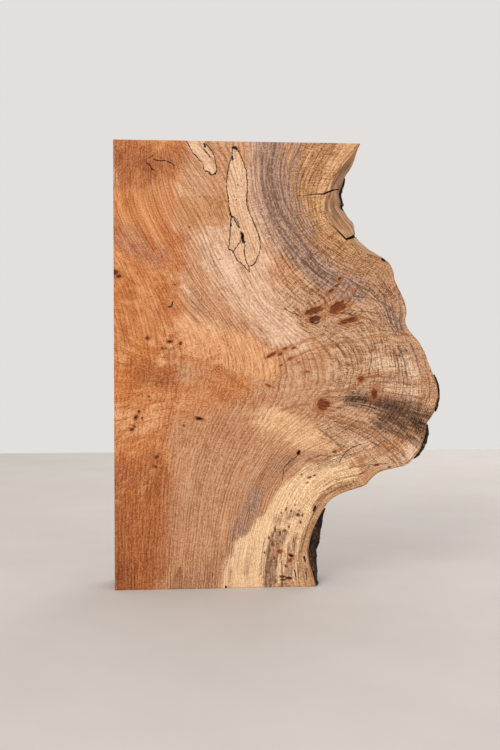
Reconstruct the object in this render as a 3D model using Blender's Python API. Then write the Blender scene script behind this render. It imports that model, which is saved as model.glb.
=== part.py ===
"""A live-edge board sawn from a burled bigleaf maple trunk, standing on its sawn foot.

The board is one solid piece of wood: two flat sawn faces, three straight sawn edges, and on +X the
natural surface of the trunk, which swells into a burl. Patches of bark still cling to that edge.
X runs along the width, Y through the thickness with the show face at -Y, and Z up the grain.
"""

import math

import bmesh
import bpy
from mathutils import Vector, noise

MM = 0.001

# The board's driving sizes, in millimetres.
HEIGHT = 356.0
THICKNESS = 40.0

# Where the natural edge meets the show face, from the top corner down to the foot:
# millimetres from the sawn left edge and from the foot.
LIVE_EDGE = [
    (196.5, 356), (190, 347), (183, 339), (178, 332), (173.5, 325), (171, 317), (168.5, 310),
    (168, 303), (171, 296), (176, 289), (182, 283), (188.5, 277), (195.5, 271.5), (203, 268),
    (212, 265), (219.5, 260.5), (223.5, 254), (224.5, 248), (227, 242), (230, 236), (233.5, 228),
    (234.5, 220), (233.5, 214), (236.5, 207), (243, 199), (248.5, 191), (251.5, 183), (254.5, 176),
    (257.5, 169), (260, 162), (260.7, 154), (259.5, 147), (256.5, 139), (252, 132), (250.8, 125),
    (249.2, 118), (246, 110), (241, 103.5), (236.5, 98.7), (230, 96.7), (220, 94.5), (212.5, 92),
    (206.5, 87), (201.5, 81.5), (194, 79), (185.5, 76.5), (177.5, 73), (171, 68), (166, 60.5),
    (160.5, 51), (156.7, 41), (154.7, 31), (155.5, 21.5), (158.5, 10.5), (161.3, 0),
]  # fmt: skip

# How far the natural surface stands out from that line at half thickness and at the back face,
# in millimetres, by height.
SWELL = [
    (356, 2.0, 3.0), (340, 7.0, 6.0), (325, 10.5, 9.0), (310, 15.0, 13.0), (298, 18.0, 16.0),
    (284, 17.0, 14.0), (272, 9.5, 7.0), (262, 3.5, 0.0), (250, 1.0, -3.5), (225, 1.0, -6.0),
    (195, 0.5, -5.0), (165, 0.0, -7.0), (135, 0.5, -9.0), (112, 1.0, -8.0), (97, 1.5, -4.0),
    (82, 1.0, 0.0), (70, 1.0, 1.0), (60, 3.5, 3.5), (48, 7.5, 6.5), (36, 9.0, 8.5),
    (24, 6.0, 6.5), (12, 3.5, 4.0), (0, 1.5, 2.5),
]  # fmt: skip

# The natural surface is divided about this finely.
EDGE_STEP = 3.2
DEPTH_STEPS = 14
NORMAL_REACH = 16.0  # how far along the edge its direction is averaged, so that hollows don't fold

# Ridges along the grain, low waves, and the burl's bumps, in millimetres.
RIDGE_HEIGHT, RIDGE_LENGTH, RIDGE_WIDTH = 0.9, 34.0, 4.6
WAVE_HEIGHT, WAVE_LENGTH, WAVE_WIDTH = 1.5, 38.0, 24.0
BUMP_HEIGHT, BUMP_SIZE = 1.3, 7.5
BURL_LOW, BURL_HIGH, BURL_FADE = 92.0, 262.0, 24.0
FRONT_CALM = 0.16  # share of the thickness over which the relief grows from the show face
END_CALM = 6.0  # and how far from the sawn top and foot, which stay flat

# Bark that still clings to the natural edge: where along its height, how far across the thickness
# from the show face, and how thick it is at its upper and lower end.
BARK_GAP = 0.55
BARK_STEP = 2.4
BARK_PATCHES = [
    {"name": "bark_in_hollow", "high": 339, "low": 300, "near": 0.5, "far": 0.99, "thick": (1.4, 1.8)},
    {"name": "bark_on_burl", "high": 170, "low": 142, "near": 0.01, "far": 0.66, "thick": (1.5, 1.2)},
    {"name": "bark_under_burl", "high": 131, "low": 104, "near": 0.01, "far": 0.84, "thick": (1.2, 4.0)},
    {"name": "bark_on_leg", "high": 64, "low": 0.9, "near": 0.01, "far": 0.97, "thick": (2.2, 1.6)},
]  # fmt: skip
BARK_RIM = 0.7  # thickness at a patch's border
BARK_RAG, RAG_SIZE = 7.0, 8.0  # how far that border wanders, and over what length
PLATE_LENGTH, PLATE_WIDTH = 9.4, 5.5
FURROW_LENGTH, FURROW_WIDTH = 11.0, 3.4

# Each kind of relief is drawn from its own layer of one noise.
WAVES, RIDGES, BUMPS, PLATES, FURROWS, RAGS = 3.1, 8.7, 5.3, 2.2, 9.4, 0.4

# Drying checks that open at the natural edge, as lines on the show face, widest at the last point.
CHECKS = [
    {"name": "upper_check", "line": [(150, 313.8), (159, 315.2), (167, 315.4), (176, 319.5), (190, 324)],
     "width": 1.3, "depth": 17},
    {"name": "lower_check", "line": [(184.6, 279.2), (190.5, 281.5), (197, 284.8), (208, 290)],
     "width": 1.6, "depth": 22},
    {"name": "split_above_lower_check", "line": [(173.6, 291.0), (178.5, 286.2), (184.8, 279.8)],
     "width": 1.7, "depth": 5},
    {"name": "side_check", "line": [(193.6, 270.6), (189.4, 276.4)], "width": 0.8, "depth": 5},
]  # fmt: skip
CHECK_TIP = 0.35  # width at the closed end and at the floor
TIP_DEPTH = 0.35  # depth at the closed end, as a share

# Small voids and open knots in the show face: centre, half length, half width, slant, depth.
PITS = [
    ("edge_hole", 215.6, 264.2, 2.3, 1.7, -50, 7.0),
    ("spalt_void", 101.8, 280.8, 2.3, 1.1, 75, 3.5),
    ("knot_row_left", 26.5, 200.3, 1.2, 0.9, 0, 2.0),
    ("knot_row_middle", 44.0, 197.6, 1.5, 0.7, 0, 2.5),
    ("knot_row_right", 52.4, 196.3, 1.0, 0.8, 30, 2.0),
    ("knot_low_left", 17.2, 137.8, 1.3, 0.9, 60, 2.5),
    ("slit_knot", 67.2, 136.3, 2.4, 0.6, -12, 2.5),
    ("bark_pocket", 147.0, 108.4, 1.0, 1.8, -20, 3.0),
    ("foot_knot", 140.8, 25.2, 1.9, 0.8, -25, 3.0),
]  # fmt: skip
PIT_SIDES = 10
PIT_RINGS = ((-1.0, 1.0), (0.15, 0.95), (1.0, 0.45))  # depth and size as shares, from outside the face


def clear_scene():
    for obj in list(bpy.data.objects):
        bpy.data.objects.remove(obj)


def rough(x, y, layer):
    return noise.noise(Vector((x, y, layer)))


def smooth_through(points, step, fine=24):
    """Points a step apart on a Catmull-Rom curve through the given ones."""
    points = [Vector(p) for p in points]
    ends = [2 * points[0] - points[1], *points, 2 * points[-1] - points[-2]]
    dense = []
    for a, b, c, d in zip(ends, ends[1:], ends[2:], ends[3:]):
        bend = 2 * a - 5 * b + 4 * c - d
        twist = 3 * b - a - 3 * c + d
        for u in (k / fine for k in range(fine)):
            dense.append(0.5 * (2 * b + (c - a) * u + bend * u**2 + twist * u**3))
    dense.append(points[-1])
    run = [0.0]
    for a, b in zip(dense, dense[1:]):
        run.append(run[-1] + (b - a).length)
    count = round(run[-1] / step)
    placed, k = [], 0
    for i in range(count + 1):
        want = run[-1] * i / count
        while k < len(run) - 2 and run[k + 1] < want:
            k += 1
        placed.append(dense[k].lerp(dense[k + 1], (want - run[k]) / (run[k + 1] - run[k])))
    return placed


def between(table, height):
    """A row's values at a height, eased between the rows of a table that runs down from the top."""
    rows = sorted(table)
    height = min(max(height, rows[0][0]), rows[-1][0])
    for low, high in zip(rows, rows[1:]):
        if height <= high[0]:
            u = (height - low[0]) / (high[0] - low[0])
            u = u * u * (3 - 2 * u)
            return [a + (b - a) * u for a, b in zip(low[1:], high[1:])]
    return list(rows[-1][1:])


def fade(value, low, high):
    """0 below low, 1 above high, eased between."""
    u = min(max((value - low) / (high - low), 0.0), 1.0)
    return u * u * (3 - 2 * u)


class LiveEdge:
    """The natural surface, by place along it from the top and by depth from 0, the show face, to 1."""

    def __init__(self):
        self.line = smooth_through(LIVE_EDGE, 1.0)
        self.length = float(len(self.line) - 1)

    def on_face(self, along):
        k = min(max(int(along), 0), len(self.line) - 2)
        return self.line[k].lerp(self.line[k + 1], along - k)

    def outward(self, along):
        """The averaged direction out of the board, level at the top and foot so that those stay flat."""
        before = self.on_face(max(along - NORMAL_REACH, 0))
        run = self.on_face(min(along + NORMAL_REACH, self.length)) - before
        out = Vector((-run.y, run.x)).normalized()
        level = 1 - fade(min(along, self.length - along), 0, NORMAL_REACH)
        return out.lerp(Vector((1, 0)), level).normalized()

    def relief(self, along, depth):
        """Waves, ridges along the grain and, on the burl, bumps."""
        height = self.on_face(along).y
        burl = fade(height, BURL_LOW, BURL_LOW + BURL_FADE)
        burl *= 1 - fade(height, BURL_HIGH - BURL_FADE, BURL_HIGH)
        across = depth * THICKNESS
        waves = WAVE_HEIGHT * rough(along / WAVE_LENGTH, across / WAVE_WIDTH, WAVES)
        ridges = RIDGE_HEIGHT * rough(along / RIDGE_LENGTH, across / RIDGE_WIDTH, RIDGES)
        bumps = BUMP_HEIGHT * rough(along / BUMP_SIZE, across / BUMP_SIZE, BUMPS) * burl
        calm = fade(depth, 0, FRONT_CALM) * fade(min(along, self.length - along), 0, END_CALM)
        return (waves + ridges * (1 - 0.5 * burl) + bumps) * calm

    def point(self, along, depth, lift=0.0):
        """A point of the surface, in millimetres from the sawn corner, lifted this far off the wood."""
        face = self.on_face(along)
        middle, back = between(SWELL, face.y)
        swell = middle * 4 * depth * (1 - depth) + back * depth * (2 * depth - 1)
        out = self.outward(along) * (swell + self.relief(along, depth) + lift)
        return Vector((face.x + out.x, depth * THICKNESS, face.y + out.y))

    def along_at(self, height):
        """The place along the edge at a height. The edge falls all the way, so there is one."""
        return min(range(len(self.line)), key=lambda k: abs(self.line[k].y - height))


def metres(point):
    """From millimetres at the sawn corner to metres with the thickness centred."""
    return Vector((point.x, point.y - THICKNESS / 2, point.z)) * MM


def material(name, colour, roughness):
    made = bpy.data.materials.new(name)
    made.use_nodes = True
    shader = made.node_tree.nodes["Principled BSDF"]
    shader.inputs["Base Color"].default_value = (*colour, 1.0)
    shader.inputs["Roughness"].default_value = roughness
    shader.inputs["Metallic"].default_value = 0.0
    made.diffuse_color = (*colour, 1.0)
    return made


def new_object(name, mesh_maker, look=None):
    mesh = bpy.data.meshes.new(name)
    mesh_maker.normal_update()
    mesh_maker.to_mesh(mesh)
    mesh_maker.free()
    obj = bpy.data.objects.new(name, mesh)
    bpy.context.scene.collection.objects.link(obj)
    if look:
        mesh.materials.append(look)
    return obj


def make_board(edge, wood):
    """The sawn faces meet the natural surface, which is a grid along the edge and through the thickness."""
    bm = bmesh.new()
    rows = round(edge.length / EDGE_STEP)
    grid = []
    for i in range(rows + 1):
        along = edge.length * i / rows
        ring = [edge.point(along, j / DEPTH_STEPS) for j in range(DEPTH_STEPS + 1)]
        grid.append([bm.verts.new(metres(p)) for p in ring])
    front_low = bm.verts.new(metres(Vector((0, 0, 0))))
    front_high = bm.verts.new(metres(Vector((0, 0, HEIGHT))))
    back_low = bm.verts.new(metres(Vector((0, THICKNESS, 0))))
    back_high = bm.verts.new(metres(Vector((0, THICKNESS, HEIGHT))))
    for upper, lower in zip(grid, grid[1:]):
        for j in range(DEPTH_STEPS):
            bm.faces.new((upper[j], lower[j], lower[j + 1], upper[j + 1]))
    bm.faces.new([front_high, front_low, *(row[0] for row in reversed(grid))])
    bm.faces.new([back_low, back_high, *(row[-1] for row in grid)])
    bm.faces.new([front_high, *grid[0], back_high])
    bm.faces.new([front_low, back_low, *reversed(grid[-1])])
    bm.faces.new((front_low, front_high, back_high, back_low))
    bmesh.ops.recalc_face_normals(bm, faces=bm.faces)
    bmesh.ops.triangulate(bm, faces=bm.faces)
    board = new_object("board", bm, wood)
    board.data.shade_smooth()
    board.data.set_sharp_from_angle(angle=math.radians(40))
    return board


def make_bark(edge, patch, bark):
    """A crust with plates and furrows, and a ragged, thin border, a hair off the wood."""
    bm = bmesh.new()
    start, end = edge.along_at(patch["high"]), edge.along_at(patch["low"])
    on_foot = patch["low"] < BARK_STEP
    rows = max(6, round((end - start) / BARK_STEP))
    columns = max(6, round((patch["far"] - patch["near"]) * THICKNESS / BARK_STEP))
    inner, outer = [], []
    for i in range(rows + 1):
        inner_row, outer_row = [], []
        for j in range(columns + 1):
            u, v = i / rows, j / columns
            along, depth = ragged(start + (end - start) * u, patch, u, v, on_foot)
            thick = bark_thickness(along, depth * THICKNESS, patch, u, v, on_foot)
            inner_row.append(bm.verts.new(metres(edge.point(along, depth, BARK_GAP))))
            outer_row.append(bm.verts.new(metres(edge.point(along, depth, BARK_GAP + thick))))
        inner.append(inner_row)
        outer.append(outer_row)
    for i in range(rows):
        for j in range(columns):
            bm.faces.new((outer[i][j], outer[i + 1][j], outer[i + 1][j + 1], outer[i][j + 1]))
            bm.faces.new((inner[i][j], inner[i][j + 1], inner[i + 1][j + 1], inner[i + 1][j]))
    rim_in = border(inner)
    rim_out = border(outer)
    for k in range(len(rim_in)):
        n = (k + 1) % len(rim_in)
        bm.faces.new((rim_in[k], rim_in[n], rim_out[n], rim_out[k]))
    bmesh.ops.recalc_face_normals(bm, faces=bm.faces)
    bmesh.ops.triangulate(bm, faces=bm.faces)
    made = new_object(patch["name"], bm, bark)
    made.data.shade_smooth()
    made.data.set_sharp_from_angle(angle=math.radians(50))
    return made


def bark_thickness(along, across, patch, u, v, on_foot):
    """Plates with furrows between them, thinning to the border except at the show face and the foot."""
    plate = rough(along / PLATE_LENGTH, across / PLATE_WIDTH, PLATES)
    furrow = 0.25 - abs(rough(along / FURROW_LENGTH, across / FURROW_WIDTH, FURROWS))
    body = min(1.0, 5 * u, 1.0 if on_foot else 5 * (1 - u), 5 * (1 - v), 0.5 + 3 * v)
    full = patch["thick"][0] + (patch["thick"][1] - patch["thick"][0]) * u
    thick = BARK_RIM + (full - BARK_RIM) * body * (0.8 + 0.8 * plate - 0.6 * furrow)
    return max(thick, BARK_RIM)


def ragged(along, patch, u, v, on_foot):
    """Place and depth of a point of a patch, whose border wanders except at the show face and the foot."""
    depth = patch["near"] + (patch["far"] - patch["near"]) * v
    side = 0.5 + 0.8 * rough(along / RAG_SIZE, RAGS, patch["high"])
    ends = 0.5 + 0.8 * rough(depth * THICKNESS / RAG_SIZE, RAGS, patch["low"])
    depth -= v * v * side * BARK_RAG / THICKNESS
    low_pull = 0.0 if on_foot else u * u * ends
    along += ((1 - u) ** 2 * ends - low_pull) * BARK_RAG
    return along, depth


def border(grid):
    """The points round a grid, in order."""
    top, foot = grid[0], grid[-1]
    far_side = [row[-1] for row in grid[1:-1]]
    near_side = [row[0] for row in grid[1:-1]]
    return [*top, *far_side, *reversed(foot), *reversed(near_side)]


def check_cutter(check):
    """A wedge that follows a check's line, a hairline at its tip and open at the natural edge."""
    bm = bmesh.new()
    line = [Vector(p) for p in check["line"]]
    last = len(line) - 1
    sections = []
    for k, centre in enumerate(line):
        run = line[min(k + 1, last)] - line[max(k - 1, 0)]
        side = Vector((-run.y, run.x)).normalized()
        wide = CHECK_TIP + (check["width"] - CHECK_TIP) * k / last
        deep = check["depth"] * (TIP_DEPTH + (1 - TIP_DEPTH) * k / last)
        corners = ((-wide / 2, -1.0), (wide / 2, -1.0), (CHECK_TIP / 2, deep), (-CHECK_TIP / 2, deep))
        places = []
        for offset, y in corners:
            spot = centre + side * offset
            places.append(bm.verts.new(metres(Vector((spot.x, y, spot.y)))))
        sections.append(places)
    for one, two in zip(sections, sections[1:]):
        for j in range(4):
            n = (j + 1) % 4
            bm.faces.new((one[j], one[n], two[n], two[j]))
    bm.faces.new(sections[0])
    bm.faces.new(sections[-1])
    bmesh.ops.recalc_face_normals(bm, faces=bm.faces)
    bmesh.ops.triangulate(bm, faces=bm.faces)
    return new_object("cutter_" + check["name"], bm)


def pit_cutter(pit):
    """A tapered oval pit in the show face."""
    name, x, z, half_length, half_width, slant, deep = pit
    bm = bmesh.new()
    long_way = Vector((math.cos(math.radians(slant)), 0, math.sin(math.radians(slant))))
    short_way = Vector((-long_way.z, 0, long_way.x))
    rings = []
    for down, share in PIT_RINGS:
        centre = Vector((x, down * deep, z))
        ring = []
        for a in (math.tau * k / PIT_SIDES for k in range(PIT_SIDES)):
            spot = long_way * (math.cos(a) * half_length) + short_way * (math.sin(a) * half_width)
            ring.append(bm.verts.new(metres(centre + spot * share)))
        rings.append(ring)
    for near, far in zip(rings, rings[1:]):
        for k in range(PIT_SIDES):
            n = (k + 1) % PIT_SIDES
            bm.faces.new((near[k], near[n], far[n], far[k]))
    bm.faces.new(rings[0])
    bm.faces.new(rings[-1])
    bmesh.ops.recalc_face_normals(bm, faces=bm.faces)
    bmesh.ops.triangulate(bm, faces=bm.faces)
    return new_object("cutter_" + name, bm)


def cut(board, cutter):
    cutter.hide_render = True
    cutter.display_type = "WIRE"
    modifier = board.modifiers.new(cutter.name, "BOOLEAN")
    modifier.operation = "DIFFERENCE"
    modifier.solver = "EXACT"
    modifier.object = cutter


def centre_across():
    """Sets every object over, so that the origin is under the middle of the board and its bark."""
    solids = [obj for obj in bpy.data.objects if not obj.hide_render]
    right = max(vertex.co.x for obj in solids for vertex in obj.data.vertices)
    for obj in bpy.data.objects:
        obj.location.x = -right / 2


def main():
    clear_scene()
    edge = LiveEdge()
    wood = material("maple", (0.55, 0.33, 0.17), 0.55)
    bark = material("bark", (0.07, 0.045, 0.03), 0.95)
    board = make_board(edge, wood)
    for check in CHECKS:
        cut(board, check_cutter(check))
    for pit in PITS:
        cut(board, pit_cutter(pit))
    for patch in BARK_PATCHES:
        make_bark(edge, patch, bark)
    centre_across()


main()
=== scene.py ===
"""The looks of a live-edge board sawn from a burled bigleaf maple trunk, standing on its sawn foot.

The board's sawn faces and its natural surface are one closed mesh. Its figure is drawn in the board's
own millimetres: growth rings and rays follow smooth guide lines, and knots, zone lines and tones lie
where they lie in the wood. The bark patches are pieces of their own.
"""

import math

import bmesh
import bpy
import numpy as np
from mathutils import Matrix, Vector, noise


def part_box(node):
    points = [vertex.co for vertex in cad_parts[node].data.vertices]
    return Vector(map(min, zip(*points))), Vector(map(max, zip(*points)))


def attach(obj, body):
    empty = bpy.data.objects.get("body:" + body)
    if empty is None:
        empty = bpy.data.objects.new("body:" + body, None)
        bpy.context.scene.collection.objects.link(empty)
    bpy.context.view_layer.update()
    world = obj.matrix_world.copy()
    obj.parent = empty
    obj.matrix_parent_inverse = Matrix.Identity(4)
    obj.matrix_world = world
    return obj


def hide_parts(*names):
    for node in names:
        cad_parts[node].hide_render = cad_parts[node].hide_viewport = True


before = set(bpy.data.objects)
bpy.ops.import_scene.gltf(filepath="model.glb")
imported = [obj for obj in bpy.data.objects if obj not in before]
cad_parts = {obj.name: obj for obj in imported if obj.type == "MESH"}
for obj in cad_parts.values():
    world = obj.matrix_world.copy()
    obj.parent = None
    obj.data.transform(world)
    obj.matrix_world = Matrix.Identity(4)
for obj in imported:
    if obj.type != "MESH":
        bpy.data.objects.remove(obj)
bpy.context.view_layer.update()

MM = 0.001
THICKNESS = 40.0
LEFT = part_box("board")[0].x  # the sawn left edge, in metres

# The natural edge on the show face, as in the solid: millimetres from the sawn left edge and the foot.
LIVE_EDGE = [
    (196.5, 356), (190, 347), (183, 339), (178, 332), (173.5, 325), (171, 317), (168.5, 310),
    (168, 303), (171, 296), (176, 289), (182, 283), (188.5, 277), (195.5, 271.5), (203, 268),
    (212, 265), (219.5, 260.5), (223.5, 254), (224.5, 248), (227, 242), (230, 236), (233.5, 228),
    (234.5, 220), (233.5, 214), (236.5, 207), (243, 199), (248.5, 191), (251.5, 183), (254.5, 176),
    (257.5, 169), (260, 162), (260.7, 154), (259.5, 147), (256.5, 139), (252, 132), (250.8, 125),
    (249.2, 118), (246, 110), (241, 103.5), (236.5, 98.7), (230, 96.7), (220, 94.5), (212.5, 92),
    (206.5, 87), (201.5, 81.5), (194, 79), (185.5, 76.5), (177.5, 73), (171, 68), (166, 60.5),
    (160.5, 51), (156.7, 41), (154.7, 31), (155.5, 21.5), (158.5, 10.5), (161.3, 0),
]  # fmt: skip

# How far the natural surface stands out at half thickness and at the back, by height.
SWELL = [
    (356, 2.0, 3.0), (340, 7.0, 6.0), (325, 10.5, 9.0), (310, 15.0, 13.0), (298, 18.0, 16.0),
    (284, 17.0, 14.0), (272, 9.5, 7.0), (262, 3.5, 0.0), (250, 1.0, -3.5), (225, 1.0, -6.0),
    (195, 0.5, -5.0), (165, 0.0, -7.0), (135, 0.5, -9.0), (112, 1.0, -8.0), (97, 1.5, -4.0),
    (82, 1.0, 0.0), (70, 1.0, 1.0), (60, 3.5, 3.5), (48, 7.5, 6.5), (36, 9.0, 8.5),
    (24, 6.0, 6.5), (12, 3.5, 4.0), (0, 1.5, 2.5),
]  # fmt: skip

# The relief of that surface, as in the solid, and finer ridges and bumps over it, in millimetres.
NORMAL_REACH = 16.0  # how far along the edge its direction is averaged
RIDGE_HEIGHT, RIDGE_LENGTH, RIDGE_WIDTH = 0.9, 34.0, 4.6
WAVE_HEIGHT, WAVE_LENGTH, WAVE_WIDTH = 1.5, 38.0, 24.0
BUMP_HEIGHT, BUMP_SIZE = 1.3, 7.5
FINE_RIDGE, FINE_LENGTH, FINE_WIDTH = 0.42, 16.0, 1.9
FINE_BUMP, FINE_BUMP_SIZE = 0.5, 3.1
BURL_LOW, BURL_HIGH, BURL_FADE = 92.0, 262.0, 24.0  # the heights where the burl has its bumps
BURL_SMOOTH = 0.5  # the share of the ridges that the burl hides
# The relief grows from the show face over this share of the thickness and from the sawn top and foot
# over this length. In the hollow above the burl, between these heights, this share of it is lost.
FRONT_CALM, END_CALM, HOLLOW_CALM = 0.16, 6.0, 0.6
HOLLOW_LOW, HOLLOW_HIGH = 264.0, 284.0
# Each kind of unevenness is taken from a layer of its own in the noise.
WAVES, RIDGES, BUMPS, PLATES, FURROWS, RAGS, FINE = 3.1, 8.7, 5.3, 2.2, 9.4, 0.4, 6.6

# The board's grid: rows down the natural edge and columns across, each run of columns from a place to
# another by a step. They are finest where zone lines run. Beyond the last fixed column the rest spread
# out to the natural edge.
ROW_STEP = 1.5
COLUMNS = ((0, 50, 2.0), (50, 90, 1.6), (90, 118, 0.85), (118, 140, 1.5))
LAST_FIXED, OUTER_COLUMNS = 140.0, 48
BACK_STRIDE = 3  # the back face has every third column
DEPTH_STEPS = 26  # through the thickness
ARRIS = 0.5  # the sawn edges are rounded this much
BOARD_SHARP, BARK_SHARP = 40, 50  # edges that turn by more degrees are shaded sharp

# Bark patches: heights on the edge, shares of the thickness, and thickness at the upper and lower end.
BARK_GAP, BARK_RIM = 0.55, 0.7  # how far the bark lies off the wood, and how thick its border is
BARK_STEP = 1.3
BARK_PATCHES = [
    {"name": "bark_in_hollow", "high": 339, "low": 300, "near": 0.5, "far": 0.99, "thick": (1.4, 1.8)},
    {"name": "bark_on_burl", "high": 170, "low": 142, "near": 0.01, "far": 0.66, "thick": (1.5, 1.2)},
    {"name": "bark_under_burl", "high": 131, "low": 104, "near": 0.01, "far": 0.84, "thick": (1.2, 4.0)},
    {"name": "bark_on_leg", "high": 64, "low": 0.9, "near": 0.01, "far": 0.97, "thick": (2.2, 1.6)},
]  # fmt: skip
FOOT_REACH = 2.0  # a patch that starts lower than this runs on to the sawn foot
BARK_RAG = 7.0  # how far a patch's border wanders
RAG_MIDDLE = 0.5
RAG_SIZES = ((12.0, 0.8), (4.5, 0.35), (2.2, 0.2))  # length and share of each wave of that border
BARK_TAPER = 5.0  # the bark is at its full thickness after a fifth of the patch
SHOW_BODY, SHOW_TAPER = 0.5, 3.0  # at the show face it starts at half
PLATE_BODY, PLATE_RISE, FURROW_FALL, FURROW_LEVEL = 0.8, 0.8, 0.6, 0.25
PLATE_LENGTH, PLATE_WIDTH = 9.4, 5.5
FURROW_LENGTH, FURROW_WIDTH = 11.0, 3.4
CRUMB_HEIGHT, CRUMB_SIZE = 0.75, 2.9

# Drying checks: the line on the show face from the closed tip to the natural edge, the width and the
# depth at its last point, the width at its tip, and the width at the bottom of the cut.
CHECKS = [
    {"line": [(150, 313.8), (159, 315.2), (167, 315.4), (176, 319.5), (190, 324)], "width": 2.0,
     "tip": 0.35, "depth": 17, "floor": 0.35},
    {"line": [(184.6, 279.2), (190.5, 281.5), (197, 284.8), (208, 290)], "width": 4.4,
     "tip": 1.3, "depth": 34, "floor": 2.2},
    # The third is a shallow groove whose dark inside is painted shade, standing for the shadow line where
    # the natural surface turns away.
    {"line": [(173.6, 291.0), (178.5, 286.2), (184.8, 279.8)], "width": 1.6,
     "tip": 0.35, "depth": 3, "floor": 0.35},
    {"line": [(193.6, 270.6), (189.4, 276.4)], "width": 0.6, "tip": 0.2, "depth": 2.5, "floor": 0.2},
]  # fmt: skip
TIP_DEPTH = 0.35  # a check's depth at its tip, as a share
FACE_CLEAR = 1.0  # how far its cutter stands out of the show face
# Small open voids: centre, half length, half width, slant in degrees and depth.
PITS = [
    (215.6, 264.2, 2.3, 1.7, -50, 7.0),
    (101.8, 280.8, 2.3, 1.1, 75, 3.5),
    (26.5, 200.3, 0.7, 0.5, 0, 1.5),
    (44.0, 197.6, 1.3, 0.5, 0, 2.0),
    (52.4, 196.3, 0.6, 0.5, 30, 1.5),
    (17.2, 137.8, 0.8, 0.5, 60, 1.5),
    (67.2, 136.3, 2.4, 0.6, -12, 2.5),
    (147.0, 108.4, 1.0, 1.8, -20, 3.0),
    (140.8, 25.2, 1.9, 0.8, -25, 3.0),
]
PIT_SIDES = 14
PIT_RINGS = ((-1.0, 1.0), (0.15, 0.95), (0.7, 0.7), (1.0, 0.35))  # depth and size, as shares
PIT_UNEVEN, PIT_WAVES = 0.3, 1.3

# Guide lines of equal ring number, from the heart on the left out to the bark.
RING_GUIDES = [
    (0, [(-8, 356), (-8, 330), (-6, 305), (2, 285), (12, 268), (22, 250), (30, 232), (37, 215), (42, 198),
         (44, 180), (42, 160), (37, 140), (33, 118), (30, 95), (28, 65), (26, 30), (25, -5)]),
    (8, [(14, 362), (13, 340), (13, 320), (17, 300), (25, 284), (36, 265), (47, 244), (57, 227),
         (67, 216), (74, 203), (78, 190), (79, 176), (76, 160), (69, 143), (62, 125), (56, 105), (52, 80),
         (49, 50), (46, 20), (45, -5)]),
    (19, [(36, 362), (36, 345), (38, 322), (43, 305), (50, 290), (60, 272), (70, 253), (80, 238),
         (90, 224), (100, 211), (108, 198), (113, 184), (114, 170), (110, 150), (102, 136), (94, 122),
         (86, 104), (79, 85), (74, 60), (70, 30), (67, -5)]),
    (28.5, [(50, 362), (57, 346), (66, 333), (76, 320), (84, 306), (90, 290), (97, 270), (105, 250),
         (113, 235), (123, 222), (135, 212), (146, 203), (156, 194), (162, 182), (163, 168), (159, 155),
         (150, 143), (138, 132), (126, 119), (115, 103), (105, 85), (98, 60), (93, 30), (90, -5)]),
    (36.5, [(97, 362), (99, 345), (102, 325), (106, 305), (112, 288), (119, 270), (127, 254), (137, 241),
         (149, 231), (162, 223), (176, 216), (189, 208), (198, 197), (203, 183), (203, 166), (199, 152),
         (190, 141), (176, 131), (160, 122), (145, 113), (131, 100), (121, 85), (113, 60), (107, 30),
         (104, -5)]),
    (46, [(129, 362), (127, 348), (125, 332), (127, 318), (131, 303), (137, 292), (145, 282), (152, 273),
         (160, 263), (170, 255), (182, 248), (195, 241), (207, 233), (216, 222), (221, 208), (226, 190),
         (229, 172), (229, 155), (224, 140), (213, 127), (199, 116), (184, 108), (168, 101), (152, 93),
         (140, 80), (130, 60), (124, 40), (121, 20), (120, -5)]),
    (51, [(150, 362), (145, 348), (141, 338), (139, 325), (139.5, 312), (143, 300), (149, 289),
         (157, 279), (167, 270), (178, 262), (190, 257), (203, 251), (213, 243), (221, 232), (226, 219),
         (231, 206), (238, 190), (243, 172), (244, 156), (240, 141), (231, 127), (218, 114), (203, 104),
         (187, 98), (170, 92), (157, 82), (148, 68), (141, 50), (137, 25), (137, -5)]),
    (60, LIVE_EDGE),
]  # fmt: skip

# Guide lines of equal place along the trunk, from the natural edge inward.
ALONG_GUIDES = [
    (0, [(-10, 362), (40, 362), (90, 362), (140, 362), (200, 362)]),
    (30, [(178, 332), (155, 335), (127, 337), (100, 340), (60, 345), (36, 352)]),
    (60, [(170, 312), (155, 310), (127, 305), (105, 298), (85, 290), (55, 280), (25, 275)]),
    (90, [(174, 292), (160, 285), (145, 277), (125, 262), (105, 248), (80, 235), (50, 225), (25, 222)]),
    (120, [(195, 272), (186, 260), (172, 243), (150, 226), (125, 208), (95, 195), (60, 185), (30, 180)]),
    (145, [(222, 258), (213, 246), (200, 232), (185, 218), (165, 205), (140, 193), (115, 183),
         (90, 178)]),
    (160, [(234, 221), (215, 218), (195, 214), (175, 208), (155, 200), (135, 188), (118, 170)]),
    (175, [(241, 202), (215, 202), (195, 199.5), (172, 194.5), (150, 188), (132, 178), (117, 166),
         (100, 165)]),
    (200, [(259, 170), (230, 168), (200, 167), (170, 165), (140, 164), (118, 163), (80, 161), (40, 160)]),
    (225, [(260, 150), (235, 154.5), (207, 158), (180, 158), (150, 156), (118, 158)]),
    (245, [(250, 131), (240, 136), (225, 143), (205, 149), (190, 151), (165, 152), (130, 151),
         (100, 150)]),
    (270, [(231, 97), (225, 108), (215, 116), (205, 124), (195, 130), (185, 133.5), (162, 140),
         (140, 141), (110, 141)]),
    (300, [(205, 85.5), (196, 98), (185, 110), (165, 120), (140, 127), (110, 130), (70, 133)]),
    (330, [(172, 69), (162, 80), (150, 92), (130, 103), (105, 110), (70, 115), (40, 118)]),
    (365, [(157, 42), (140, 48), (120, 55), (95, 62), (60, 66), (20, 68)]),
    (410, [(0, -2), (40, -2), (80, -2), (120, -2), (161, -2)]),
]  # fmt: skip

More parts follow.
